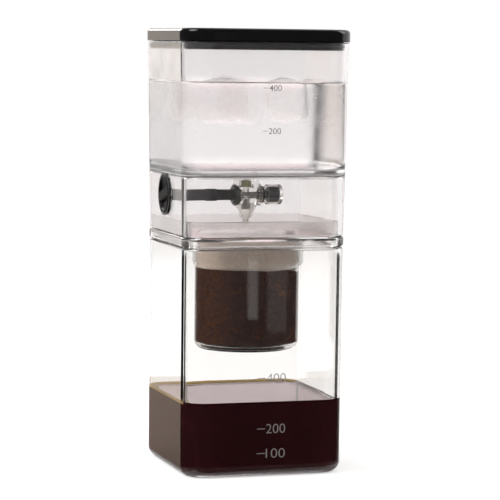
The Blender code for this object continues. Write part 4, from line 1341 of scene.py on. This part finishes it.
class DRIPTOWER_OT_stage(DripTowerOperator, bpy.types.Operator):
    """Set up the pale floor, the soft light and the camera"""

    bl_idname = "drip_tower.stage"
    bl_label = "Stage"

    def build(self, sizes, valve, contents, studio):
        shape = bmesh.new()
        bmesh.ops.create_grid(shape, x_segments=1, y_segments=1, size=6.0)
        floor = new_piece("stage_floor", shape)
        floor.data.materials.append(self.floor_paint())
        self.dark_cards()
        self.reflector("stage_strip_panel", -0.0122, -0.0062, 0.119, 0.0858, 0.60)
        self.reflector("stage_wide_panel", -0.0005, 0.0109, 0.119, 0.0690, 0.20)
        self.reflector("stage_lid_panel", -0.0347, -0.0307, 0.252, 0.2283, 0.45)
        self.glow_panel("stage_glow_panel", 72.7, 1.6, 0.35, (0.10, 0.70), (1.0, 0.86, 0.88), 1.65)
        self.glow_panel("stage_warm_panel", 105.0, 2.6, 0.40, (0.12, 1.20), (1.0, 0.90, 0.80), 1.0)
        self.daylight(studio.fill)
        self.softbox("key_softbox", (-1.1, -0.1, 1.1), (0.7, 0.7), studio.key)
        self.softbox("side_softbox", (1.2, -0.2, 0.8), (0.5, 0.9), studio.side)
        self.softbox("rear_softbox", (-0.35, 1.15, 0.60), (0.5, 0.3), studio.rear)
        self.camera(studio)

    def floor_paint(self):
        """White sweep paper, shown white to the camera and in glass, with the object's shadow."""
        material, tree, shader = new_material(
            "sweep_paper",
            Base_Color=(0.93, 0.93, 0.93, 1.0),
            Roughness=0.8,
            Specular_IOR_Level=0.1,
            Emission_Color=(1.0, 1.0, 1.0, 1.0),
        )
        path = add_node(tree, "ShaderNodeLightPath").outputs
        seen = {0: path["Is Camera Ray"], 1: path["Is Transmission Ray"]}
        seen = add_node(tree, "ShaderNodeMath", seen, operation="MAXIMUM")
        lift = add_node(tree, "ShaderNodeMath", {0: seen, 1: 0.45}, operation="MULTIPLY")
        link(tree, shader, {"Emission Strength": lift})
        return material

    def dark_cards(self):
        """Dark cards round the front, seen only in reflections, so that black stays black."""
        edge = SERVER_HALF
        left, right, middle = (-edge, -edge), (edge, -edge), (0.0, 0.0)
        wall = ((2.4, 0.0), (2.6, 3.0), (0.4, 3.6))
        black, soft_black, grey, tan = "#0A0A0A", "#141212", "#5C5A5A", "#B8A89A"
        # Each card's profile as radius and height, then azimuths, centre, reach and shade
        self.card("stage_near_card", ((0.004, 0.0008), (0.34, 0.0008)), 109, 358, left, 4, black)
        self.card("stage_side_card", ((0.004, 0.0004), (0.34, 0.0004)), 290, 400, right, 4, black)
        self.card("stage_cup_side_card", ((0.34, 0.0004), (1.35, 0.0004)), 300, 400, right, 14, soft_black)
        self.card("stage_floor_mid_card", ((1.35, 0.0012), (2.3, 0.0012)), 280, 295, middle, 3, grey)
        self.card("stage_front_mid_card", ((2.3, 0.0), (2.5, 2.0)), 280, 295, middle, 3, grey)
        self.card("stage_brown_card", ((0.004, 0.0006), (0.40, 0.0006)), 90.5, 109, left, 4, tan)
        self.card("stage_cup_card", ((0.34, 0.0008), (1.35, 0.0008)), 112, 352, left, 14, soft_black)
        self.card("stage_floor_card", ((1.35, 0.0008), (2.4, 0.0008)), 150, 350, left, 0, grey)
        self.card("stage_front_card", wall, 195, 345, middle, 0, grey)
        self.card("stage_left_card", wall, 113, 195, middle, 0, grey)

    def card(self, name, profile, start, end, centre, reach, shade):
        """Sweeps a (radius, height) profile round a centre, between two angles in degrees."""
        steps = math.ceil((end - start) / 5)
        angles = [math.radians(start + (end - start) * step / steps) for step in range(steps + 1)]
        shape = bmesh.new()
        loops = []
        for r, z in profile:
            spots = [(centre[0] + r * math.cos(a), centre[1] + r * math.sin(a), z) for a in angles]
            loops.append([shape.verts.new(spot) for spot in spots])
        for lower, upper in zip(loops, loops[1:], strict=False):
            for index in range(steps):
                shape.faces.new((lower[index], lower[index + 1], upper[index + 1], upper[index]))
        card = new_piece(name, shape)
        card.data.materials.append(shared(self.felt, reach, shade))
        self.show_in_reflections(card)

    def show_in_reflections(self, piece):
        """Leaves a card or a panel to reflections and clear faces alone."""
        piece.visible_camera = piece.visible_diffuse = piece.visible_shadow = False

    def reflector(self, name, left, right, top, bottom, strength):
        """A dim light panel that only reflections in the front wall see, placed by its picture
        in that wall: left and right edges as X on the wall, top and bottom as heights there."""
        away = 0.6
        place = Vector(bpy.context.scene.drip_tower_studio.camera_place)
        spots = []
        for x, z in ((left, top), (right, top), (right, bottom), (left, bottom)):
            view = Vector((x, -SERVER_HALF, z)) - place
            view /= abs(view.y)
            spots.append((x + away * view.x, -SERVER_HALF - away, z + away * view.z))
        self.lit_panel(name, spots, (1.0, 0.97, 0.95), strength)

    def glow_panel(self, name, azimuth, distance, half, heights, colour, strength):
        """A bright part of the backdrop behind the maker, seen only in reflections."""
        turn = Matrix.Rotation(math.radians(azimuth), 3, "Z")
        low, high = heights
        flat = ((-half, low), (half, low), (half, high), (-half, high))
        spots = [turn @ Vector((distance, y, z)) for y, z in flat]
        tree, shader = self.lit_panel(name, spots, colour, strength)
        # A ray that has only passed through clear faces doesn't see it either
        depth = add_node(tree, "ShaderNodeLightPath").outputs["Glossy Depth"]
        mirrored = add_node(tree, "ShaderNodeMath", {0: depth, 1: 0.5}, operation="GREATER_THAN")
        link(tree, shader, {"Alpha": mirrored})

    def lit_panel(self, name, spots, colour, strength):
        """A flat, shining panel. Gives its material's nodes and shader."""
        shape = bmesh.new()
        shape.faces.new([shape.verts.new(spot) for spot in spots])
        panel = new_piece(name, shape)
        material, tree, shader = new_material(
            name,
            Base_Color=(0.0, 0.0, 0.0, 1.0),
            Roughness=1.0,
            Emission_Color=(*colour, 1.0),
            Emission_Strength=strength,
        )
        panel.data.materials.append(material)
        self.show_in_reflections(panel)
        return tree, shader

    def felt(self, reach, shade):
        """Dark felt that only a reflection sees, through as many clear faces as reach, and half
        as dark through more."""
        material, tree, shader = new_material(
            f"felt_{shade[1:]}_{reach}",
            Base_Color=(*linear(shade), 1.0),
            Roughness=1.0,
            Specular_IOR_Level=0.0,
        )
        path = add_node(tree, "ShaderNodeLightPath").outputs
        mirrored = {0: path["Glossy Depth"], 1: 0.5}
        mirrored = add_node(tree, "ShaderNodeMath", mirrored, operation="GREATER_THAN")
        within = {0: path["Transmission Depth"], 1: reach + 0.5}
        within = add_node(tree, "ShaderNodeMath", within, operation="LESS_THAN")
        share = add_node(tree, "ShaderNodeMapRange", {"Value": within, "To Min": 0.5, "To Max": 1.0})
        cover = add_node(tree, "ShaderNodeMath", {0: mirrored, 1: share}, operation="MULTIPLY")
        link(tree, shader, {"Alpha": cover})
        return material

    def daylight(self, strength):
        world = bpy.data.worlds.new("studio")
        bpy.context.scene.world = world
        world.use_nodes = True
        tree = world.node_tree
        tree.nodes.clear()
        path = add_node(tree, "ShaderNodeLightPath").outputs
        seen = {0: path["Is Camera Ray"], 1: path["Is Glossy Ray"]}
        seen = add_node(tree, "ShaderNodeMath", seen, operation="MAXIMUM")
        seen = {0: seen, 1: path["Is Transmission Ray"]}
        seen = add_node(tree, "ShaderNodeMath", seen, operation="MAXIMUM")
        # What lights a piece inside a clear wall is the soft light too, not the white backdrop
        direct = add_node(tree, "ShaderNodeMath", {0: path["Diffuse Depth"], 1: 0.5}, operation="LESS_THAN")
        seen = add_node(tree, "ShaderNodeMath", {0: seen, 1: direct}, operation="MULTIPLY")
        soft = {"Color": (1.0, 0.985, 0.97, 1.0), "Strength": strength}
        soft = add_node(tree, "ShaderNodeBackground", soft)
        white = add_node(tree, "ShaderNodeBackground", {"Color": (1.0, 1.0, 1.0, 1.0), "Strength": 1.0})
        mix = add_node(tree, "ShaderNodeMixShader", {0: seen, 1: soft, 2: white})
        add_node(tree, "ShaderNodeOutputWorld", {"Surface": mix})

    def softbox(self, name, place, size, power):
        data = bpy.data.lights.new(name, "AREA")
        data.shape = "RECTANGLE"
        data.size, data.size_y = size
        data.energy = power
        lamp = bpy.data.objects.new(name, data)
        lamp.location = place
        aim = Vector((0, 0, 0.12)) - Vector(place)
        lamp.rotation_euler = aim.to_track_quat("-Z", "Y").to_euler()
        bpy.context.scene.collection.objects.link(lamp)

    def camera(self, studio):
        data = bpy.data.cameras.new("camera")
        data.lens = studio.lens
        data.sensor_width = 36.0
        data.clip_start, data.clip_end = 0.05, 50.0
        camera = bpy.data.objects.new("camera", data)
        turn = Matrix.Rotation(-studio.yaw, 4, "Z") @ Matrix.Rotation(math.pi / 2 - studio.pitch, 4, "X")
        turn = turn @ Matrix.Rotation(studio.roll, 4, "Z")
        camera.matrix_world = Matrix.Translation(studio.camera_place) @ turn
        bpy.context.scene.collection.objects.link(camera)
        bpy.context.scene.camera = camera
        bpy.context.scene.view_settings.view_transform = "Standard"


PIECES = (
    DRIPTOWER_OT_server,
    DRIPTOWER_OT_dripper,
    DRIPTOWER_OT_filter,
    DRIPTOWER_OT_tank,
    DRIPTOWER_OT_lid,
    DRIPTOWER_OT_valve,
    DRIPTOWER_OT_knob,
    DRIPTOWER_OT_spindle,
    DRIPTOWER_OT_water,
    DRIPTOWER_OT_grounds,
    DRIPTOWER_OT_coffee,
    DRIPTOWER_OT_scales,
    DRIPTOWER_OT_stage,
)


GROUPS = {
    "drip_tower_sizes": DripTowerSizes,
    "drip_tower_valve": DripTowerValve,
    "drip_tower_contents": DripTowerContents,
    "drip_tower_studio": DripTowerStudio,
}


class DRIPTOWER_PT_panel(bpy.types.Panel):
    bl_label = "Drip Tower"
    bl_idname = "DRIPTOWER_PT_panel"
    bl_space_type = "VIEW_3D"
    bl_region_type = "UI"
    bl_category = "Drip Tower"

    def draw(self, context):
        for operator in PIECES:
            self.layout.operator(operator.bl_idname)
        for group in (getattr(context.scene, name) for name in GROUPS):
            box = self.layout.box()
            for name in group.bl_rna.properties.keys():
                if name not in ("rna_type", "name"):
                    box.prop(group, name)


CLASSES = (*GROUPS.values(), *PIECES, DRIPTOWER_PT_panel)


def register():
    for item in CLASSES:
        bpy.utils.register_class(item)
    for name, group in GROUPS.items():
        setattr(bpy.types.Scene, name, PointerProperty(type=group))


def unregister():
    for name in GROUPS:
        delattr(bpy.types.Scene, name)
    for item in reversed(CLASSES):
        bpy.utils.unregister_class(item)


def main():
    register()
    for operator in PIECES:
        group, name = operator.bl_idname.split(".")
        getattr(getattr(bpy.ops, group), name)()


if __name__ == "__main__":
    main()
